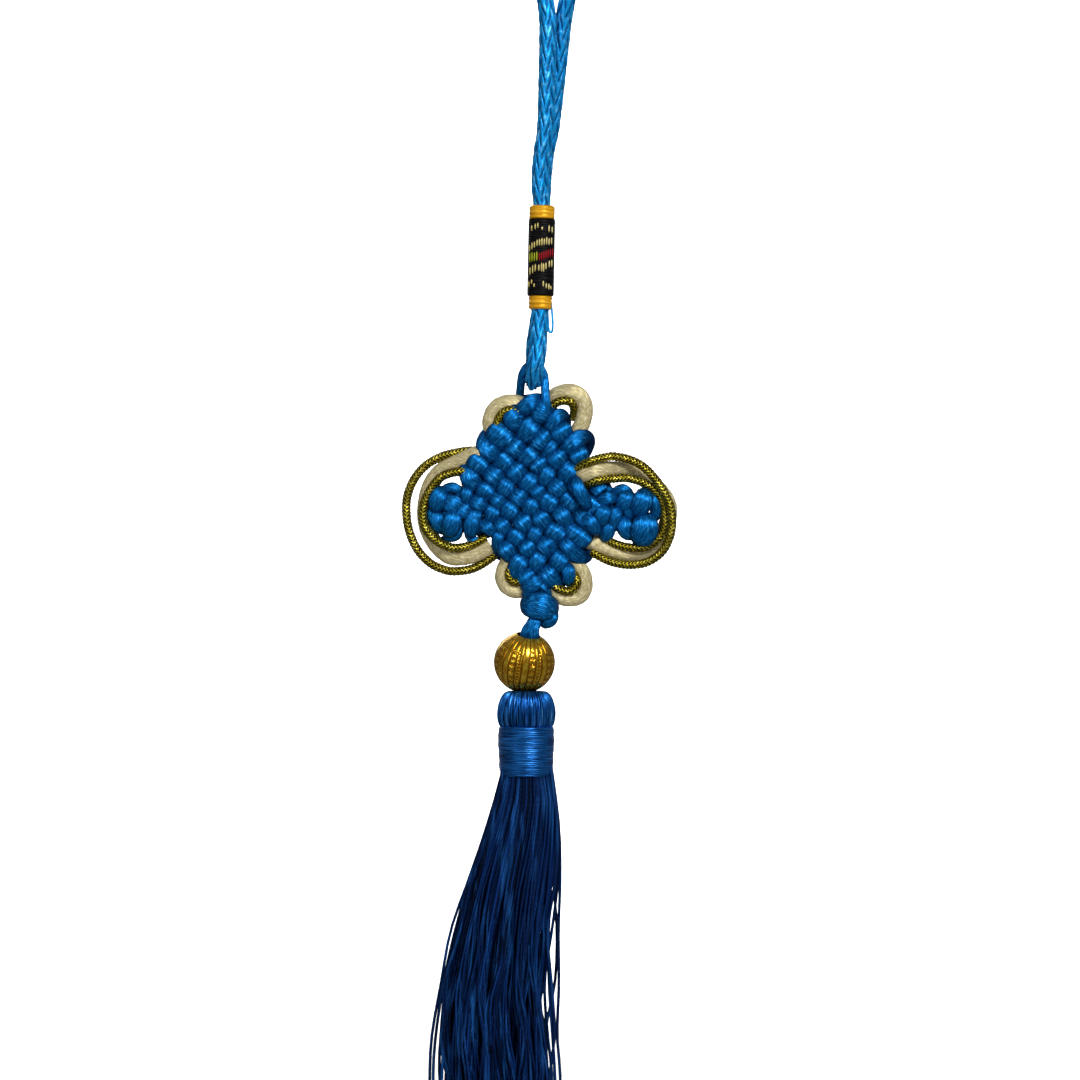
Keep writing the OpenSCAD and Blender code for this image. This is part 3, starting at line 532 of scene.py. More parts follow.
def satin_cord(name, deep, base, bright, rib, slant, shine):
    """Rayon satin cord: fine yarns lie side by side along it at a slant, rib millimetres apart.
    The fibres tint what they reflect, so it shines in its own colour. Painted highlights lie on it in short
    bright dashes along the yarns, and painted shade darkens it where the stitch attribute falls to 0,
    between and under other strands."""
    made, tree = bare_material(name)
    turned = add(
        tree, "ShaderNodeMapping", ("Vector", along_around(tree)), ("Rotation", (0, 0, slant))
    ).outputs[0]
    yarns = add(
        tree, "ShaderNodeTexWave", ("Vector", turned), ("Scale", 0.314 / rib), ("Distortion", 1.2),
        ("Detail", 1.0), ("Detail Scale", 1.5), bands_direction="Y",
    ).outputs["Fac"]
    long = add(tree, "ShaderNodeMapping", ("Vector", turned), ("Scale", (1.1, 1 / rib, 1)))
    flecks = mottle(tree, long.outputs[0], 0.9, 2.0)
    place = stitch_value(tree)
    # Painted shade: where the stitch attribute is low, between and under other strands, the colour goes to
    # the deep one. Painted highlight: bright flecks along the raised yarns.
    tone_and_painted_shade = reckon(tree, "MULTIPLY", spread(tree, flecks, 0.2, 0.6), place)
    painted_highlight_flecks = reckon(tree, "MULTIPLY", spread(tree, flecks, 0.55, 0.75), place)
    lit = reckon(tree, "MULTIPLY", painted_highlight_flecks, yarns)
    colour = blend(tree, lit, blend(tree, tone_and_painted_shade, deep, base), bright)
    height = reckon(tree, "MULTIPLY_ADD", flecks, 0.6, yarns)
    return surfaced(
        made, colour, height, 0.7, 0.00007, ("Roughness", 0.42), ("Metallic", shine),
        *silky(tree, 0.55, 0.25),
    )


def plaited_cord(name, deep, base, bright, yarns_each, roughness):
    """Plaited polyester cord: each strand is a flat bundle of yarns, lighter along its crown, with painted
    highlights in patches there, and darkened by painted shade at its edges, where it dives under the next
    one. It reads the strand's crown."""
    made, tree = bare_material(name)
    place = stitch_value(tree)
    crown = spread(tree, place, 0.05, 0.95)
    yarn = reckon(tree, "SINE", reckon(tree, "MULTIPLY", place, 2 * math.pi * yarns_each))
    noise = mottle(tree, object_place(tree), 900.0, 3.0)
    # Painted shade at each strand's edges, where it dives under the next; painted highlights in patches
    # along its crown.
    lit = reckon(tree, "MULTIPLY", spread(tree, noise, 0.52, 0.75), crown)
    colour = blend(tree, lit, blend(tree, crown, deep, base), bright)
    return surfaced(
        made, colour, reckon(tree, "ADD", yarn, noise), 0.4, 0.00008, ("Roughness", roughness),
        ("Metallic", 0.6), *silky(tree, 0.5, 0.25),
    )


def lurex_braid(name, deep, base, bright):
    """Braid of gilt foil over thread: olive gold, with small hard painted glints on the strands' crowns,
    where a facet of foil would face the light, and painted near-black shade in the gaps between its
    strands."""
    made, tree = bare_material(name)
    crown = spread(tree, stitch_value(tree), 0.5, 1.0)
    facets = add(tree, "ShaderNodeTexVoronoi", ("Vector", object_place(tree)), ("Scale", 1300.0))
    split = add(tree, "ShaderNodeSeparateColor", ("Color", facets.outputs["Color"]))
    # Painted glints on the facets of the crowns, and painted near-black shade in the gaps.
    lit = reckon(tree, "MULTIPLY", spread(tree, split.outputs[0], 0.6, 0.95), crown)
    colour = blend(tree, lit, blend(tree, crown, deep, base), bright)
    return surfaced(
        made, colour, split.outputs[1], 0.6, 0.00006, ("Roughness", 0.3), ("Metallic", 0.85)
    )


def wound_thread(name, deep, base, bright, pitch, wound, roughness, shine):
    """Silk or rayon thread laid side by side, round the piece (wound) or along it: fine threads,
    pitch millimetres apart, each a little lighter or darker than the next, with a silky shine
    that spreads across the threads."""
    made, tree = bare_material(name)
    along, around = (1 / pitch, 0.12) if wound else (0.12, 1 / pitch)
    scaled = add(
        tree, "ShaderNodeMapping", ("Vector", along_around(tree)), ("Scale", (along, around, 1))
    )
    shade = mottle(tree, scaled.outputs[0], 1.3, 4.0)
    ground = blend(tree, spread(tree, shade, 0.38, 0.64), deep, base)
    colour = blend(tree, spread(tree, shade, 0.58, 0.8), ground, bright)
    return surfaced(
        made, colour, shade, 0.8, 0.00012, ("Roughness", roughness), ("Metallic", shine),
        *silky(tree, 0.4, 0.0 if wound else 0.25),
    )


def loose_thread(name, deep, base, bright):
    """Loose rayon fringe thread: every thread has its own shade of navy, with painted glints that make it
    lighter along some lengths of it, over the small bumps of its twisted yarns."""
    made, tree = bare_material(name)
    twist = add(
        tree, "ShaderNodeTexWave", ("Vector", along_around(tree)), ("Scale", 0.5),
        bands_direction="DIAGONAL",
    )
    long = add(
        tree, "ShaderNodeMapping", ("Vector", object_place(tree)), ("Scale", (1, 1, 0.06))
    )
    # Painted glints: bright streaks along some lengths of the threads.
    glint_streaks = mottle(tree, long.outputs[0], 600.0, 2.0)
    ground = blend(tree, stitch_value(tree), deep, base)
    colour = blend(tree, spread(tree, glint_streaks, 0.5, 0.8), ground, bright)
    return surfaced(
        made, colour, twist.outputs["Fac"], 0.5, 0.00006, ("Roughness", 0.45), ("Metallic", 0.4),
        ("Specular IOR Level", 0.08),
    )


def metallised_abs(name, deep, base, bright):
    """Moulded ABS with a vacuum-coated gold lacquer: mirror-like on the ribs, with painted highlights on
    their crests, and darker brown and duller down in the grooves and the pressed marks."""
    made, tree = bare_material(name)
    noise = mottle(tree, object_place(tree), 700.0, 3.0)
    level = reckon(
        tree, "ADD", reckon(tree, "MULTIPLY", stitch_value(tree), 0.75),
        reckon(tree, "MULTIPLY", noise, 0.35),
    )
    ground = blend(tree, level, deep, base)
    # Painted highlight: the bright colour on the rib crests.
    colour = blend(tree, spread(tree, level, 0.84, 1.08), ground, bright)
    gloss = spread(tree, level, 0.0, 1.0, 0.4, 0.17)
    return surfaced(made, colour, noise, 0.25, 0.0001, ("Roughness", gloss), ("Metallic", 0.9))


def matt_paper(name, base):
    """Matt studio paper: a plain pale ground with the faintest mottling."""
    made, tree = bare_material(name)
    shade = blend(tree, mottle(tree, object_place(tree), 30.0, 2.0), base, [0.98 * c for c in base])
    shader = add(tree, "ShaderNodeBsdfPrincipled", ("Base Color", shade), ("Roughness", 0.9))
    add(tree, "ShaderNodeOutputMaterial", ("Surface", shader.outputs[0]))
    return made


FINISHES = {}


def finish(name):
    """The material of a name, made the first time it is asked for."""
    if name not in FINISHES:
        c = bpy.context.scene.norigae_colours
        # The first colour of each is its deep one and the last its bright one. For the satin and the plait
        # the bright one is a painted highlight, for the braid painted glints, for the bead a painted
        # highlight on the rib crests; the deep one is random tone and painted shade in the satin's creases,
        # painted shade at the plait's and braid's strand edges, and darker brown in the bead's grooves. The
        # fringe's bright one is painted glints; in the other thread finishes both are random
        # thread-to-thread tone.
        make, *rest = {
            "polyester_plait_azure": (plaited_cord, "#033a72", c.cord, "#6cc6f8", 2, 0.42),
            "rayon_satin_blue": (satin_cord, "#01204a", c.satin, "#48aef2", 0.3, 0.12, 0.75),
            "rayon_satin_cream": (satin_cord, "#8a7c50", c.cream, "#f8f2da", 0.3, 0.2, 0.4),
            "lurex_braid_gold": (lurex_braid, "#0a0a02", c.braid, "#f4e058"),
            "silk_wrap_black": (wound_thread, "#040405", "#141214", "#3c3936", 0.3, True, 0.45, 0.2),
            "silk_wrap_yellow": (wound_thread, "#b9800e", c.band, "#ffd45c", 0.3, True, 0.4, 0.3),
            "silk_stitch_gold": (wound_thread, "#a08a34", "#e9dd9c", "#fffbe0", 0.3, False, 0.3, 0.4),
            "silk_stitch_red": (wound_thread, "#5c0d14", "#a51f28", "#d8474c", 0.3, False, 0.4, 0.3),
            "silk_stitch_green": (wound_thread, "#6d7a12", "#b9bf35", "#e7e77e", 0.3, False, 0.4, 0.3),
            "rayon_thread_blue": (wound_thread, "#02163c", c.tassel, "#80c4ff", 0.35, False, 0.32, 0.8),
            "rayon_wrap_blue": (wound_thread, "#031c44", c.tassel, "#54a2ee", 0.3, True, 0.4, 0.75),
            "rayon_thread_navy": (loose_thread, "#010a20", c.fringe, "#1b5294"),
            "metallised_abs_gold": (metallised_abs, "#3c1a02", c.bead, "#ffe650"),
            "studio_paper": (matt_paper, "#ffffff"),
        }[name]
        FINISHES[name] = make(name, *(linear(q) if isinstance(q, str) else q for q in rest))
    return FINISHES[name]


def build_hanging_cord(sizes):
    """One plaited cord along its route, with the stitches pointing down on both legs."""
    path = even(flow(HANGING_ROUTE / MM, 12), 0.3)
    across, out = carried_sides(path, (1, 0, 0))
    s = distance_along(path)
    step = np.diff(s, prepend=0)
    eye, peg = int(np.argmin(path[:, 2])), int(np.argmax(path[:, 2]))
    phase = np.cumsum(np.where((np.arange(len(s)) > eye) & (np.arange(len(s)) <= peg), -step, step))
    grid, place = plait(
        path, across, out, 0.56 * sizes.cord_d / MM, 0.9, sizes.cord_stitch / MM, 4, 48, 0.8, phase,
        -math.pi / 2,
    )
    made = piece(
        "braided_hanging_cord", [grid], finish("polyester_plait_azure"), stitch=[place]
    )
    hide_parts("hanging_cord")
    return made, path, s[-1]


def oval_ring(width, depth, beta):
    """Points on the sleeve's outline: two half circles and two straights. Beta runs 0 to 1 from
    the front's middle, by length."""
    r, half = width / 2, (depth - width) / 2
    quarter = math.pi * r / 2
    total = 4 * quarter + 4 * half
    d = (np.asarray(beta) % 1) * total
    x, y = np.empty_like(d), np.empty_like(d)
    cuts = [quarter, quarter + 2 * half, 3 * quarter + 2 * half, 3 * quarter + 4 * half]
    k = np.searchsorted(cuts, d)
    a = d / r
    x[k == 0], y[k == 0] = (r * np.sin(a))[k == 0], (-half - r * np.cos(a))[k == 0]
    x[k == 1], y[k == 1] = r, (d - quarter - half)[k == 1]
    a = (d - cuts[1]) / r
    x[k == 2], y[k == 2] = (r * np.cos(a))[k == 2], (half + r * np.sin(a))[k == 2]
    x[k == 3], y[k == 3] = -r, (half - (d - cuts[2]))[k == 3]
    a = (d - cuts[3]) / r
    x[k == 4], y[k == 4] = (-r * np.cos(a))[k == 4], (-half - r * np.sin(a))[k == 4]
    return x, y


def on_sleeve(x, y, z):
    """Tilts a point of the upright sleeve about the front axis and puts it in its place."""
    c, s = math.cos(SLEEVE_TILT), math.sin(SLEEVE_TILT)
    return np.stack([x * c + z * s, y, -x * s + z * c], -1) + SLEEVE_AT


def wound_tube(width, depth, low, high, pitch, relief, rim):
    """A wall round both cords. Going up, the outside swells and shrinks by relief with every
    turn of thread and rounds in by rim at its two ends; the inside is plain, with a radius of
    2 round each leg."""
    inside = 2
    z = np.linspace(low, high, int((high - low) / pitch * 7) + 1)
    turn = np.abs(np.sin(math.pi * (z - low) / pitch))
    ends = np.minimum(z - low, high - z)
    out = relief * (turn - 1) - rim * (1 - ramp(ends, 0, 0.5)) ** 2
    beta = np.arange(72) / 72
    rows = []
    for grow, level in ((out, z), (np.full(2, inside - width / 2), np.array([high, low]))):
        x, y = oval_ring(width, depth, beta)
        grow = grow[:, None]
        flat = unit(np.stack([x, np.sign(y) * np.maximum(np.abs(y) - (depth - width) / 2, 0)], -1))
        x, y = x + grow * flat[:, 0], y + grow * flat[:, 1]
        rows.append(on_sleeve(x, y, level[:, None] + 0 * x))
    return np.concatenate(rows)


def dashes(spots, width, depth, thick):
    """Short upright stitches on the sleeve: each is a thin tube from its foot to its head, at x
    across the front, standing proud of the wrap."""
    x0, low, high, side = np.array(spots, float).T
    t = np.linspace(0, 1, 5)
    r = width / 2
    beta = np.arcsin(np.clip(x0 / r, -0.98, 0.98))
    normal = np.stack([np.sin(beta), -np.cos(beta) * side, 0 * beta], -1)
    z = low[:, None] + (high - low)[:, None] * t
    x = np.broadcast_to((r * np.sin(beta))[:, None], z.shape)
    y = np.broadcast_to(((-(depth - width) / 2 - r * np.cos(beta)) * side)[:, None], z.shape)
    centre = on_sleeve(x, y, z)
    angle = circle(6)
    slim = thick / 2 * np.sqrt(np.clip(1.15 - (2 * t - 1) ** 2, 0, 1))[None, :, None, None]
    tangent = np.stack([np.cos(beta), np.sin(beta) * side, 0 * beta], -1)
    ring = np.cos(angle)[None, None, :, None] * tangent[:, None, None] * 1.1
    ring = ring + np.sin(angle)[None, None, :, None] * normal[:, None, None] * 0.9
    return centre[:, :, None] + slim * ring


def build_sleeve(sizes):
    """The black wrapping with its two yellow bands, and the rows of bright stitches on it."""
    width, depth = sizes.sleeve_w / MM, sizes.sleeve_d / MM
    half, band = 11.9, 3.2
    made = [
        piece(
            "sleeve_black_wrap", [wound_tube(width, depth, band - half, half - band, 0.55, 0.12, 0.05)],
            finish("silk_wrap_black"), closed=True,
        ),
        piece(
            "sleeve_yellow_band_top",
            [wound_tube(width - 0.3, depth - 0.3, half - band, half, 1.05, 0.1, 0.45)],
            finish("silk_wrap_yellow"), closed=True,
        ),
        piece(
            "sleeve_yellow_band_bottom",
            [wound_tube(width - 0.7, depth - 0.5, -half, band - half, 1.05, 0.28, 0.3)],
            finish("silk_wrap_yellow"), closed=True,
        ),
    ]
    for new, node in zip(made, ("sleeve_wrap", "sleeve_band_top", "sleeve_band_bottom")):
        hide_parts(node)
    rng = np.random.default_rng(4)
    for name, rows, look in (
        ("sleeve_gold_stitches", STITCHES_GOLD, "silk_stitch_gold"),
        ("sleeve_red_stitches", STITCHES_RED, "silk_stitch_red"),
        ("sleeve_green_stitches", STITCHES_GREEN, "silk_stitch_green"),
    ):
        rows = np.array(rows)
        behind = rows * (-1, 1, 1) + rng.uniform(-0.25, 0.25, rows.shape)
        spots = np.concatenate([np.insert(rows, 3, 1, axis=1), np.insert(behind, 3, -1, axis=1)])
        grid = dashes(spots, width + 0.08, depth + 0.08, 0.36)
        made.append(piece(name, [grid], finish(look)))
    path = even(flow(LOOSE_END, 8), 0.2)
    across, out = carried_sides(path, (1, 0, 0))
    tube = along_path(path, round_section(8, 0.6, 0.4), across, out)
    made.append(piece("sleeve_loose_yarn", [tube], finish("polyester_plait_azure")))
    return made


def satin_tube(route, width, depth, ripple=0.035, start=None):
    """A satin cord along a route: an ellipse whose edge ripples a little, more along one side
    than the other, as a cord that is bent by hand does. A route's fourth column is its width.
    With a start, its sides are carried along from there."""
    path = even(flow(route, 10), 0.35)
    across, out = facing_sides(path) if start is None else carried_sides(path, start)
    s = distance_along(path)[:, None]
    section = round_section(28, path[:, 3] if path.shape[1] > 3 else width, depth, 2.2)
    angle = circle(28)
    wave = 1 + ripple * np.sin(3 * angle + 1.9 * s) * np.sin(1.3 * s + angle)
    return along_path(path, section * wave[..., None], across, out) + KNOT


def build_eye():
    """The eye of thin satin cord: its route passes behind the knot's top turns."""
    tube = satin_tube(EYE_ROUTE, 2.0, 2.0, start=(1, 0, 0))
    made = piece("knot_eye_cord", [tube], finish("rayon_satin_blue"))
    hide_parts("knot_eye")


def shares(t):
    """Weights of the four rows or columns of the tables for any place: the cubic through them."""
    t = np.asarray(t, float)[..., None]
    made = np.ones(t.shape[:-1] + (4,))
    for k in range(4):
        for m in range(4):
            if m != k:
                made[..., k] *= (t[..., 0] - CROSS_STEPS[m]) / (CROSS_STEPS[k] - CROSS_STEPS[m])
    return made


def crossing(i, j):
    """x and z where strand a of row j crosses strand b of column i, for any i and j. Two small
    waves make the hand-tightened weave a little uneven."""
    a, b = shares(i), shares(j)
    x, z = (np.einsum("...a,ab,...b", a, table, b) for table in (CROSS_X, CROSS_Z))
    return np.stack([x + 0.22 * np.sin(2.3 * i + 1.1 * j), z + 0.22 * np.sin(1.7 * i - 2.1 * j)], -1)


def spacing(i, j, di, dj):
    """Distance between a strand's neighbours, square to it."""
    over = crossing(i + dj / 2, j + di / 2) - crossing(i - dj / 2, j - di / 2)
    along = unit(crossing(i + di / 2, j + dj / 2) - crossing(i - di / 2, j - dj / 2))
    return np.abs(over[..., 0] * along[..., 1] - over[..., 1] * along[..., 0])


def to_and_fro(reaches, backwards):
    """Eight runs joined by seven turns: place along the run, and number of the run. A turn
    stands out by its reach times the sine while it moves over by half of 1 less the cosine."""
    along, across = [], []
    k = np.arange(7 * PER_STEP + 1) / PER_STEP
    angle = np.pi * np.arange(1, PER_STEP) / PER_STEP
    for n in range(8):
        start, step = (LAST, -1) if (n % 2 == 0) == backwards else (FIRST, 1)
        along.append(start + step * k)
        across.append(np.full(len(k), float(n)))
        if n < 7:
            along.append(start + step * (7 + reaches[n] * np.sin(angle)))
            across.append(n + (1 - np.cos(angle)) / 2)
    return np.concatenate(along), np.concatenate(across)


def build_diamond_knot(sizes):
    """Strands a run down to the right and strands b up to the right, each set one cord that goes
    to and fro. Strand a is in front where i + j is even: its depth is minus h times the cosine
    of pi (i + j), and strand b's is the opposite; turns lean back. The width is the spacing times
    a share, pinched between crossings. The stitch value is high on the side of a strand that
    faces away from the strand it crosses."""
    h, fill, thick = sizes.weave_depth / MM, sizes.strand_fill, sizes.strand_thick / MM
    grids, crowns = [], []
    for front, first, second in (
        (-1, TURNS_TOP_LEFT, TURNS_BOTTOM_RIGHT), (1, TURNS_TOP_RIGHT[::-1], TURNS_BOTTOM_LEFT[::-1]),
    ):
        reaches = np.zeros(7)
        reaches[0::2], reaches[1::2] = first, second
        along, across = to_and_fro(reaches, front < 0)
        held = np.clip(along, FIRST, LAST)
        if front < 0:
            i, j, held_i, held_j = along, FIRST + across, held, FIRST + across
            w = spacing(held_i, held_j, 1, 0)
        else:
            i, j, held_i, held_j = LAST - across, along, LAST - across, held
            w = spacing(held_i, held_j, 0, 1)
        at = crossing(i, j)
        y = front * h * np.cos(np.pi * (held_i + held_j)) + TURN_LEAN * np.abs(along - held)
        w = w * (1 + 0.06 * np.sin(3.1 * i + 2.2 * j))
        pinch = 0.88 + 0.12 * np.abs(np.cos(np.pi * held))
        rows = smoothed(even(np.stack([at[:, 0], y, at[:, 1], fill * w * pinch], 1), 0.33))
        path_sides, path_out = (smoothed(q) for q in facing_sides(rows))
        s = distance_along(rows)[:, None]
        section = round_section(28, rows[:, 3], thick, 2.1)
        facing = np.sign(np.mean(path_out[:, 1]))
        angle = circle(28)
        folds = 1 + 0.03 * np.sin(5 * angle + 0.9 * s) * np.sin(0.7 * s)
        grids.append(along_path(rows, section * folds[..., None], unit(path_sides), unit(path_out)) + KNOT)
        # The stitch value sets painted shade: it is low where the strand dives under the one it crosses and
        # at its edges, and there the satin turns to its deep colour.
        high = 0.5 + 0.5 * np.sin(angle) * facing * np.clip(rows[:, 1] / h, -1, 1)[:, None]
        crowns.append((0.1 + 0.9 * ramp(high, 0.25, 0.9)) * (1 - 0.8 * np.cos(angle) ** 6))
    made = piece("diamond_knot_cord", grids, finish("rayon_satin_blue"), stitch=crowns)
    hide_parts("diamond_knot")


def wraps(rows):
    """Turns of cord that pass round from front to back: each runs in an upright ellipse from its
    first end to its second, rise deep to either side, and bows aside by the sine on the way.
    Its width lies square to that and narrows to two thirds at the ends. The stitch value is
    low at the ends and edges of a turn."""
    thick = 2.6
    x0, z0, x1, z1, bow, width, depth, rise = np.array(rows).T[:, :, None]
    turn = circle(50)[None]
    t, swell = 0.5 - 0.5 * np.cos(turn), np.sin(turn)
    side = bow * np.sin(math.pi * t)
    length = np.hypot(x1 - x0, z1 - z0)
    ex, ez = (x1 - x0) / length, (z1 - z0) / length
    path = np.stack(
        [x0 + ex * length * t - ez * side, depth - rise * swell, z0 + ez * length * t + ex * side], -1
    )
    along = unit(np.roll(path, -1, 1) - np.roll(path, 1, 1))
    slope = math.pi * bow * np.cos(math.pi * t) / length
    across = unit(np.stack([ez + ex * slope, 0 * slope, -ex + ez * slope], -1))
    out = np.cross(across, along)
    angle = circle(22)
    section = np.stack([np.cos(angle), np.sin(angle)], -1)
    wave = 1 + 0.03 * np.sin(4 * angle + 5 * turn[..., None])
    w = (0.66 + 0.34 * np.abs(swell)) * width / 2
    # The stitch value sets painted shade: it is low at the ends and edges of a turn, where the cord dives
    # under other cord, and there the satin turns to its deep colour.
    crown = (0.15 + 0.85 * ramp(np.abs(swell), 0.1, 0.75))[..., None] * (1 - 0.8 * section[:, 0] ** 6)
    grid = (
        path[:, :, None] + (section[:, 0] * wave * w[..., None])[..., None] * across[:, :, None]
        + (section[:, 1] * wave * thick / 2)[..., None] * out[:, :, None] + KNOT
    )
    return grid, crown


def build_wraps(name, rows, node):
    """A small knot of thick turns."""
    grid, crown = wraps(rows)
    made = piece(
        name, [grid], finish("rayon_satin_blue"), closed=True, stitch=[crown]
    )
    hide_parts(node)


def build_loops(sizes, part):
    """The cream satin loops and the gold braids beside them, wings or ears."""
    for node, route in LOOPS_CREAM.items():
        if node.startswith(part):
            d = sizes.satin_d / MM
            grid = satin_tube(route, d, d * 0.96, ripple=0.025)
            made = piece(f"{node}_cord", [grid], finish("rayon_satin_cream"))
            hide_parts(node)
    for node, route in LOOPS_GOLD.items():
        if node.startswith(part):
            path = even(flow(route, 10), 0.1)
            grid, crown = plait(
                path, *facing_sides(path), 0.56 * sizes.gold_d / MM, 0.55, 0.85, 3, 36, 1.0,
                distance_along(path), math.pi / 2,
            )
            made = piece(
                f"{node}_braid", [grid + KNOT], finish("lurex_braid_gold"), stitch=[crown]
            )
            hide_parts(node)


def build_drop_cord():
    """The satin cord from the button knot through the bead into the tassel's head."""
    tube = satin_tube(DROP_ROUTE, None, 2.6, start=(1, 0, 0))
    made = piece("drop_satin_cord", [tube], finish("rayon_satin_blue"))
    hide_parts("drop_cord")


def build_bead(sizes):
    """A fluted bead: from the bore's rim over the outside and back through the bore. Its radius
    falls in a narrow groove between two ribs, by the eighth power of the place across a rib;
    small bars and rings are pressed into two of every three ribs, in rows."""
    radius, bore, ribs = sizes.bead_d / MM / 2, 2.7, sizes.bead_ribs
    around = ribs * 12
    rim = math.asin(bore / radius)
    polar = np.linspace(rim, math.pi - rim, 136)[:, None]
    turn = circle(around)[None]
    panel = (turn * ribs / (2 * math.pi)) % 1 * 2 - 1
    number = np.floor(turn * ribs / (2 * math.pi))
    belly = ramp(np.sin(polar), math.sin(rim), 0.85)
    groove = np.abs(panel) ** 8
    height = -0.22 * groove * (0.35 + 0.65 * belly)
    row = (polar - math.pi / 2) * radius / 1.5
    cell = (row + 0.5 * (number % 2)) % 1 * 2 - 1
    bar = (1 - ramp(np.abs(panel), 0.34, 0.5)) * (1 - ramp(np.abs(np.abs(cell) - 0.55), 0.14, 0.26))
    reach = np.sqrt(panel**2 + (cell * 1.6) ** 2)
    ringlet = 1 - ramp(np.abs(reach - 0.52), 0.12, 0.24)
    mark = np.where(number % 3 == 0, ringlet, np.where(number % 3 == 1, bar, 0))
    mark = mark * (1 - ramp(np.abs(polar - math.pi / 2), 0.62, 0.72))
    r = radius * 0.995 + height - 0.16 * mark
    flat = r * np.sin(polar)
    outer = np.stack([flat * np.cos(turn), flat * np.sin(turn), r * np.cos(polar)], -1)
    level = np.linspace(-1, 1, 12)[:, None] * radius * math.cos(rim) * 0.985
    inner = np.stack(np.broadcast_arrays(bore * np.cos(turn), bore * np.sin(turn), level), -1)
    # The stitch value, which the bead's colour reads: high on the rib crests, where painted highlights
    # fall, lower in the grooves and pressed marks, which turn darker brown, and 0 on the bore's wall, which
    # is the darkest brown.
    place = np.concatenate([np.maximum(1 - groove - 0.5 * mark, 0), np.zeros(inner.shape[:2])])
    nod, lean = math.radians(15), math.radians(9)
    tip = np.array([[1, 0, 0], [0, math.cos(nod), -math.sin(nod)], [0, math.sin(nod), math.cos(nod)]])
    tilt = np.array([[math.cos(lean), 0, math.sin(lean)], [0, 1, 0], [-math.sin(lean), 0, math.cos(lean)]])
    grid = np.concatenate([outer, inner]) @ (tilt @ tip).T + BEAD_AT + KNOT
    made = piece(
        "ribbed_gold_bead", [grid], finish("metallised_abs_gold"), closed=True, stitch=[place]
    )
    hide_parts("gold_bead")


def lathe(outline, steps, around, relief):
    """A closed wall from an outline of radius and z turned about the tassel's axis; relief, of
    the place along and around, is added to the radius."""
    curve = even(flow(outline, steps, True), 0.12, True)
    turn = circle(around)
    r = curve[:, :1] + relief(curve[:, 1:2], turn[None], curve[:, :1])
    x, y = r * np.cos(turn) + TASSEL_X, r * np.sin(turn)
    return np.stack([x, y, curve[:, 1:2] + 0 * x], -1) + KNOT


def build_tassel_head():
    """Threads fan out of the head's top and run down under the band: the radius ripples once
    for each thread, a little more lower down, and each thread leans over as it goes."""
    threads = 60

    def relief(z, turn, r):
        lean = 0.05 * (z + 44) / 8
        wave = np.abs(np.sin((turn + lean) * threads / 2 + 0.5 * np.sin(turn * 7)))
        outside = ramp(r, 3.4, 5.0)
        return outside * (0.6 * wave - 0.5 + 0.12 * np.sin(9 * turn + 2) + 0.08 * np.sin(23 * turn))

    outline = [
        (3.2, -51.6), (3.2, -48.5), (3.3, -45.4), (3.8, -44.0), (4.8, -44.2), (5.7, -45.3), (6.3, -46.9),
        (6.6, -48.7), (6.55, -50.3), (6.2, -51.6), (5.6, -52.3), (4.4, -52.3),
    ]
    grid = lathe(outline, 6, threads * 6, relief)
    made = piece("tassel_head_threads", [grid], finish("rayon_thread_blue"), closed=True)
    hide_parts("tassel_head")


def build_tassel_band():
    """Thread wound round the neck: the radius ripples once for each turn, and the turns rise and
    fall a little round the band."""

    def relief(z, turn, r):
        rise = 0.12 * np.sin(2 * turn + 0.4) + 0.07 * np.sin(5 * turn + 1.1 + 0.4 * z)
        wave = np.abs(np.sin(math.pi * (z + rise) / 0.42))
        outside = ramp(r, 5.6, 5.9)
        slow = 0.05 * np.sin(1.1 * z + 2 * turn) + 0.04 * np.sin(2.7 * z + turn)
        return outside * (0.24 * wave - 0.2 + slow)

    outline = [
        (5.45, -63.0), (5.5, -58.0), (5.55, -52.6), (6.0, -52.15), (6.45, -52.5), (6.5, -55.0),
        (6.4, -58.0), (6.25, -61.0), (6.1, -62.6), (5.8, -63.2),
    ]
    grid = lathe(outline, 10, 110, relief)
    made = piece("tassel_band_wrap", [grid], finish("rayon_wrap_blue"), closed=True)
    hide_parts("tassel_band")


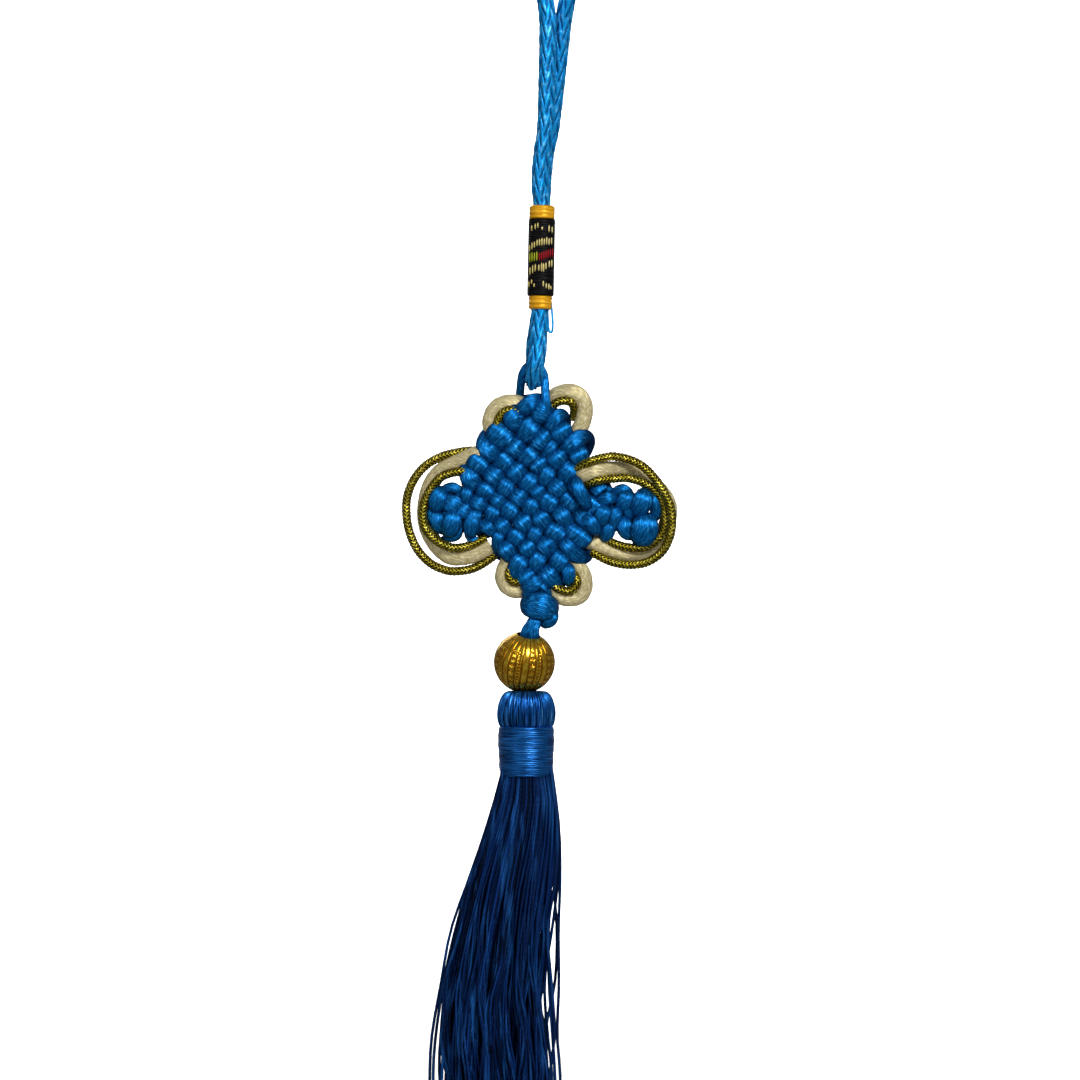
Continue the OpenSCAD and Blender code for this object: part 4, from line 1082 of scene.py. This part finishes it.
def build_fringe(sizes):
    """Loose threads. Each starts at its own place in the neck and joins one of the locks lower
    down; locks and threads sway in slow waves that grow downwards. A few strays stand off at
    either side. Every thread ends at its own height."""
    rng = np.random.default_rng(11)
    count, rings, sides, locks, start = sizes.fringe_threads, 32, 5, 44, -56.0
    strays = np.array(STRAYS)
    body = count - len(strays)
    t = np.linspace(0, 1, rings) ** 0.85
    foot = -189.6 + rng.uniform(0, 6.5, count) ** 1.3 * 0.7
    z = start + (foot[:, None] - start) * t
    rows = FRINGE_ROWS[::-1]
    middle, wide, deep = (np.interp(z, rows[:, 0], rows[:, k]) for k in (1, 2, 3))
    golden = math.pi * (3 - math.sqrt(5))
    seat = np.arange(locks)
    lock_share = np.sqrt((seat + 0.5) / locks) * 0.97
    share = np.sqrt(rng.uniform(0.02, 1, count))
    angle = rng.uniform(0, 2 * math.pi, count)
    place = np.stack([share * np.cos(angle), share * np.sin(angle)], -1)
    homes = np.stack([lock_share * np.cos(seat * golden), lock_share * np.sin(seat * golden)], -1)
    lock = np.argmin(np.linalg.norm(place[:, None] - homes[None], axis=-1), axis=1)
    gather = 0.4 * ramp(-z, 66, 110)
    x, y = (
        place[:, None, k] + (homes[lock][:, None, k] - place[:, None, k]) * gather for k in (0, 1)
    )
    x, y = middle + wide * x, deep * y
    loose = ramp(-z, 66, 125)
    for size, length, mates in ((1.0, 58, True), (0.5, 33, True), (1.0, 44, False), (0.3, 19, False)):
        for value in (x, y):
            phase = rng.uniform(0, 2 * math.pi, (locks if mates else count, 1))
            much = rng.uniform(0.4, 1, (locks if mates else count, 1))
            phase, much = (phase[lock], much[lock]) if mates else (phase, much)
            value += loose * size * much * np.sin(2 * math.pi * z / length + phase)
    heights = np.array(STRAY_HEIGHTS)[::-1]
    drawn = flow(np.column_stack([strays[:, :-1].T[::-1], heights]), 6)
    for k in range(len(strays)):
        x[body + k] = np.interp(z[body + k], drawn[:, -1], drawn[:, k])
        y[body + k] = strays[k, -1] + 0.3 * np.sin(z[body + k] / 9)
    path = np.stack([x, y, z], -1)
    along = unit(np.gradient(path, axis=1))
    across = unit(np.cross(along, np.array([0.0, 1.0, 0.0])))
    out = np.cross(across, along)
    a = circle(sides)
    thick = sizes.thread_d / MM / 2 * rng.uniform(0.75, 1.25, count)
    thick[body:] = sizes.thread_d / MM / 2 * 1.3
    r = thick[:, None, None, None]
    shade = rng.uniform(0, 1, count)[:, None, None]
    ring = np.cos(a)[:, None] * across[:, :, None] + np.sin(a)[:, None] * out[:, :, None]
    grid = path[:, :, None] + r * ring + KNOT
    made = piece(
        "tassel_fringe_threads", [grid], finish("rayon_thread_navy"), stitch=[shade]
    )
    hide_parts("tassel_fringe")


def build_camera():
    """The camera in front: what it sees is wide metres across at the norigae's distance."""
    away, wide = 1.2, 0.2484
    camera = bpy.data.cameras.new("front_camera")
    camera.sensor_width = 36
    camera.lens = 36 * away / wide
    camera.clip_end = 20
    seat = bpy.data.objects.new("front_camera", camera)
    seat.location = (-0.00332, -away, -0.1842)
    seat.rotation_euler = (math.pi / 2, 0, 0)
    bpy.context.scene.collection.objects.link(seat)
    bpy.context.scene.camera = seat


def build_stage():
    """A pale floor that curves up far behind, an even sky, soft lamps in front and a weak one
    behind, and one on the backdrop."""
    t = np.linspace(0, 1, 40)
    near, far, low, curl, tall = -4, 3, -0.42, 0.5, 2.4
    quarter = t * math.pi / 2
    flat = np.stack([near + (far - near) * t, np.full(40, low)], 1)
    bend = np.stack([far + curl * np.sin(quarter), low + curl * (1 - np.cos(quarter))], 1)
    wall = np.stack([np.full(40, far + curl), low + curl + tall * t], 1)
    profile = np.concatenate([flat, bend[1:], wall[1:]])
    x = np.linspace(-4, 4, 3)
    grid = np.stack(np.broadcast_arrays(x[None], profile[:, :1], profile[:, 1:]), -1)
    n = len(profile)
    k, a = (q.ravel() for q in np.meshgrid(np.arange(n - 1), np.arange(2), indexing="ij"))
    faces = np.stack([k * 3 + a, k * 3 + a + 1, (k + 1) * 3 + a + 1, (k + 1) * 3 + a], 1)
    mesh = bpy.data.meshes.new("studio_floor")
    mesh.from_pydata(grid.reshape(-1, 3).tolist(), [], faces.tolist())
    mesh.polygons.foreach_set("use_smooth", np.ones(len(faces), bool))
    mesh.materials.append(finish("studio_paper"))
    floor = bpy.data.objects.new("studio_floor", mesh)
    bpy.context.scene.collection.objects.link(floor)
    floor.visible_glossy = False
    bpy.context.scene.view_settings.view_transform = "Standard"
    world = bpy.context.scene.world or bpy.data.worlds.new("even_sky")
    bpy.context.scene.world = world
    world.use_nodes = True
    world.node_tree.nodes.clear()
    sky = add(world.node_tree, "ShaderNodeBackground", ("Color", (1, 1, 1, 1)), ("Strength", 0.17))
    add(world.node_tree, "ShaderNodeOutputWorld", ("Surface", sky.outputs[0]))
    for name, place, target, size, power in (
        ("key_lamp", (0.38, -0.85, 0.48), (-0.007, 0, -0.18), 0.4, 13.0),
        ("fill_lamp", (-0.6, -0.8, 0.1), (-0.007, 0, -0.18), 0.5, 2.0),
        ("back_lamp", (-0.35, 1.0, 0.35), (-0.007, 0, -0.18), 0.6, 2.5),
        ("backdrop_lamp", (0, 2.0, 1.2), (0, 3.4, -0.2), 1.2, 80.0),
    ):
        lamp = bpy.data.lights.new(name, "AREA")
        lamp.size = size
        lamp.energy = power
        holder = bpy.data.objects.new(name, lamp)
        holder.location = place
        aim = np.array(target) - np.array(place)
        pitch = math.atan2(math.hypot(aim[0], aim[1]), -aim[2])
        holder.rotation_euler = (pitch, 0, math.atan2(-aim[0], aim[1]))
        bpy.context.scene.collection.objects.link(holder)


class NorigaeSizes(bpy.types.PropertyGroup):
    """Sizes that a user would change."""

    cord_d: bpy.props.FloatProperty(
        name="Cord thickness", description="Thickness of the hanging cord", default=0.0038, min=0.003,
        max=0.0042, unit="LENGTH",
    )
    cord_stitch: bpy.props.FloatProperty(
        name="Cord stitch", description="Length of one stitch of the cord's plait", default=0.005,
        min=0.002, max=0.008, unit="LENGTH",
    )
    sleeve_w: bpy.props.FloatProperty(
        name="Sleeve width", description="Width of the wrapped sleeve", default=0.0062, min=0.0056,
        max=0.007, unit="LENGTH",
    )
    sleeve_d: bpy.props.FloatProperty(
        name="Sleeve depth", description="Depth of the wrapped sleeve, front to back", default=0.0102,
        min=0.0096, max=0.011, unit="LENGTH",
    )
    weave_depth: bpy.props.FloatProperty(
        name="Weave depth", description="How far the knot's strands swing to front and back",
        default=0.0015, min=0.001, max=0.002, unit="LENGTH",
    )
    strand_thick: bpy.props.FloatProperty(
        name="Strand thickness", description="Thickness of the knot's flattened satin strands",
        default=0.0027, min=0.0015, max=0.003, unit="LENGTH",
    )
    strand_fill: bpy.props.FloatProperty(
        name="Strand fill", description="Share of the strand spacing that a strand fills", default=1.12,
        min=0.7, max=1.15, subtype="FACTOR",
    )
    satin_d: bpy.props.FloatProperty(
        name="Cream cord", description="Thickness of the cream satin cord", default=0.0039, min=0.003,
        max=0.0044, unit="LENGTH",
    )
    gold_d: bpy.props.FloatProperty(
        name="Gold braid", description="Thickness of the gold braid", default=0.0021, min=0.0015,
        max=0.0025, unit="LENGTH",
    )
    bead_d: bpy.props.FloatProperty(
        name="Bead", description="Diameter of the ribbed bead", default=0.0142, min=0.012, max=0.0146,
        unit="LENGTH",
    )
    bead_ribs: bpy.props.IntProperty(
        name="Bead ribs", description="Ribs around the bead", default=27, min=12, max=36
    )
    fringe_threads: bpy.props.IntProperty(
        name="Fringe threads", description="Threads in the tassel's fringe", default=560, min=100, max=600
    )
    thread_d: bpy.props.FloatProperty(
        name="Fringe thread", description="Thickness of one thread of the fringe", default=0.0006,
        min=0.0003, max=0.0007, unit="LENGTH",
    )


class NorigaeColours(bpy.types.PropertyGroup):
    """Main colours of the finishes."""

    cord: bpy.props.FloatVectorProperty(
        name="Hanging cord", description="Azure of the plaited cord", default=linear("#168ed4"),
        subtype="COLOR", min=0, max=1,
    )
    satin: bpy.props.FloatVectorProperty(
        name="Knot cord", description="Blue of the knot's satin cord", default=linear("#0a68ac"),
        subtype="COLOR", min=0, max=1,
    )
    cream: bpy.props.FloatVectorProperty(
        name="Cream cord", description="Cream of the satin loops", default=linear("#c4b88c"),
        subtype="COLOR", min=0, max=1,
    )
    braid: bpy.props.FloatVectorProperty(
        name="Gold braid", description="Olive gold of the braid", default=linear("#a3921e"),
        subtype="COLOR", min=0, max=1,
    )
    band: bpy.props.FloatVectorProperty(
        name="Yellow bands", description="Yellow of the sleeve's bands", default=linear("#e4aa28"),
        subtype="COLOR", min=0, max=1,
    )
    bead: bpy.props.FloatVectorProperty(
        name="Bead", description="Gold of the bead", default=linear("#bc800e"), subtype="COLOR", min=0,
        max=1,
    )
    tassel: bpy.props.FloatVectorProperty(
        name="Tassel head", description="Blue of the tassel's head and band", default=linear("#2272c6"),
        subtype="COLOR", min=0, max=1,
    )
    fringe: bpy.props.FloatVectorProperty(
        name="Fringe", description="Navy of the fringe", default=linear("#082a62"), subtype="COLOR",
        min=0, max=1,
    )


class NORIGAE_OT_camera(bpy.types.Operator):
    """Places the camera in front"""

    bl_idname = "norigae.camera"
    bl_label = "Camera"

    def execute(self, context):
        build_camera()
        return {"FINISHED"}


class NORIGAE_OT_hanging_cord(bpy.types.Operator):
    """Makes the plaited hanging cord and the wrapped sleeve round its legs"""

    bl_idname = "norigae.hanging_cord"
    bl_label = "Hanging cord and sleeve"

    def execute(self, context):
        sizes = context.scene.norigae_sizes
        made, path, length = build_hanging_cord(sizes)
        sleeve = build_sleeve(sizes)
        return {"FINISHED"}


class NORIGAE_OT_knot(bpy.types.Operator):
    """Makes the knot's eye, the woven diamond and the two side knots"""

    bl_idname = "norigae.knot"
    bl_label = "Diamond knot"

    def execute(self, context):
        build_eye()
        build_diamond_knot(context.scene.norigae_sizes)
        build_wraps("side_knot_cord_left", WRAPS_LEFT, "side_knot_left")
        build_wraps("side_knot_cord_right", WRAPS_RIGHT, "side_knot_right")
        return {"FINISHED"}


class NORIGAE_OT_loops(bpy.types.Operator):
    """Makes the large side loops and the four small ones"""

    bl_idname = "norigae.loops"
    bl_label = "Cream and gold loops"

    def execute(self, context):
        sizes = context.scene.norigae_sizes
        build_loops(sizes, "wing")
        build_loops(sizes, "ear")
        return {"FINISHED"}


class NORIGAE_OT_bead(bpy.types.Operator):
    """Makes the wrap knot, the cord below it and the ribbed bead"""

    bl_idname = "norigae.bead"
    bl_label = "Button knot and bead"

    def execute(self, context):
        build_wraps("button_knot_cord", WRAPS_BUTTON, "button_knot")
        build_drop_cord()
        build_bead(context.scene.norigae_sizes)
        return {"FINISHED"}


class NORIGAE_OT_tassel(bpy.types.Operator):
    """Makes the tassel's head, its wrapped band and its fringe"""

    bl_idname = "norigae.tassel"
    bl_label = "Tassel"

    def execute(self, context):
        build_tassel_head()
        build_tassel_band()
        build_fringe(context.scene.norigae_sizes)
        return {"FINISHED"}


class NORIGAE_OT_stage(bpy.types.Operator):
    """Makes the pale floor and the lights"""

    bl_idname = "norigae.stage"
    bl_label = "Floor and lights"

    def execute(self, context):
        build_stage()
        return {"FINISHED"}


class NORIGAE_PT_panel(bpy.types.Panel):
    """Lists the norigae's operators and their settings"""

    bl_idname = "NORIGAE_PT_panel"
    bl_label = "Norigae"
    bl_space_type = "VIEW_3D"
    bl_region_type = "UI"
    bl_category = "Norigae"

    def draw(self, context):
        for operator in OPERATORS:
            self.layout.operator(operator.bl_idname)
        for group in (context.scene.norigae_sizes, context.scene.norigae_colours):
            for name in group.__annotations__:
                self.layout.prop(group, name)


OPERATORS = (
    NORIGAE_OT_camera, NORIGAE_OT_hanging_cord, NORIGAE_OT_knot, NORIGAE_OT_loops, NORIGAE_OT_bead,
    NORIGAE_OT_tassel, NORIGAE_OT_stage,
)
CLASSES = (NorigaeSizes, NorigaeColours, *OPERATORS, NORIGAE_PT_panel)


def register():
    for each in CLASSES:
        bpy.utils.register_class(each)
    bpy.types.Scene.norigae_sizes = bpy.props.PointerProperty(type=NorigaeSizes)
    bpy.types.Scene.norigae_colours = bpy.props.PointerProperty(type=NorigaeColours)


def unregister():
    del bpy.types.Scene.norigae_colours
    del bpy.types.Scene.norigae_sizes
    for each in reversed(CLASSES):
        bpy.utils.unregister_class(each)


def main():
    register()
    bpy.ops.norigae.camera()
    bpy.ops.norigae.hanging_cord()
    bpy.ops.norigae.knot()
    bpy.ops.norigae.loops()
    bpy.ops.norigae.bead()
    bpy.ops.norigae.tassel()
    bpy.ops.norigae.stage()


if __name__ == "__main__":
    main()
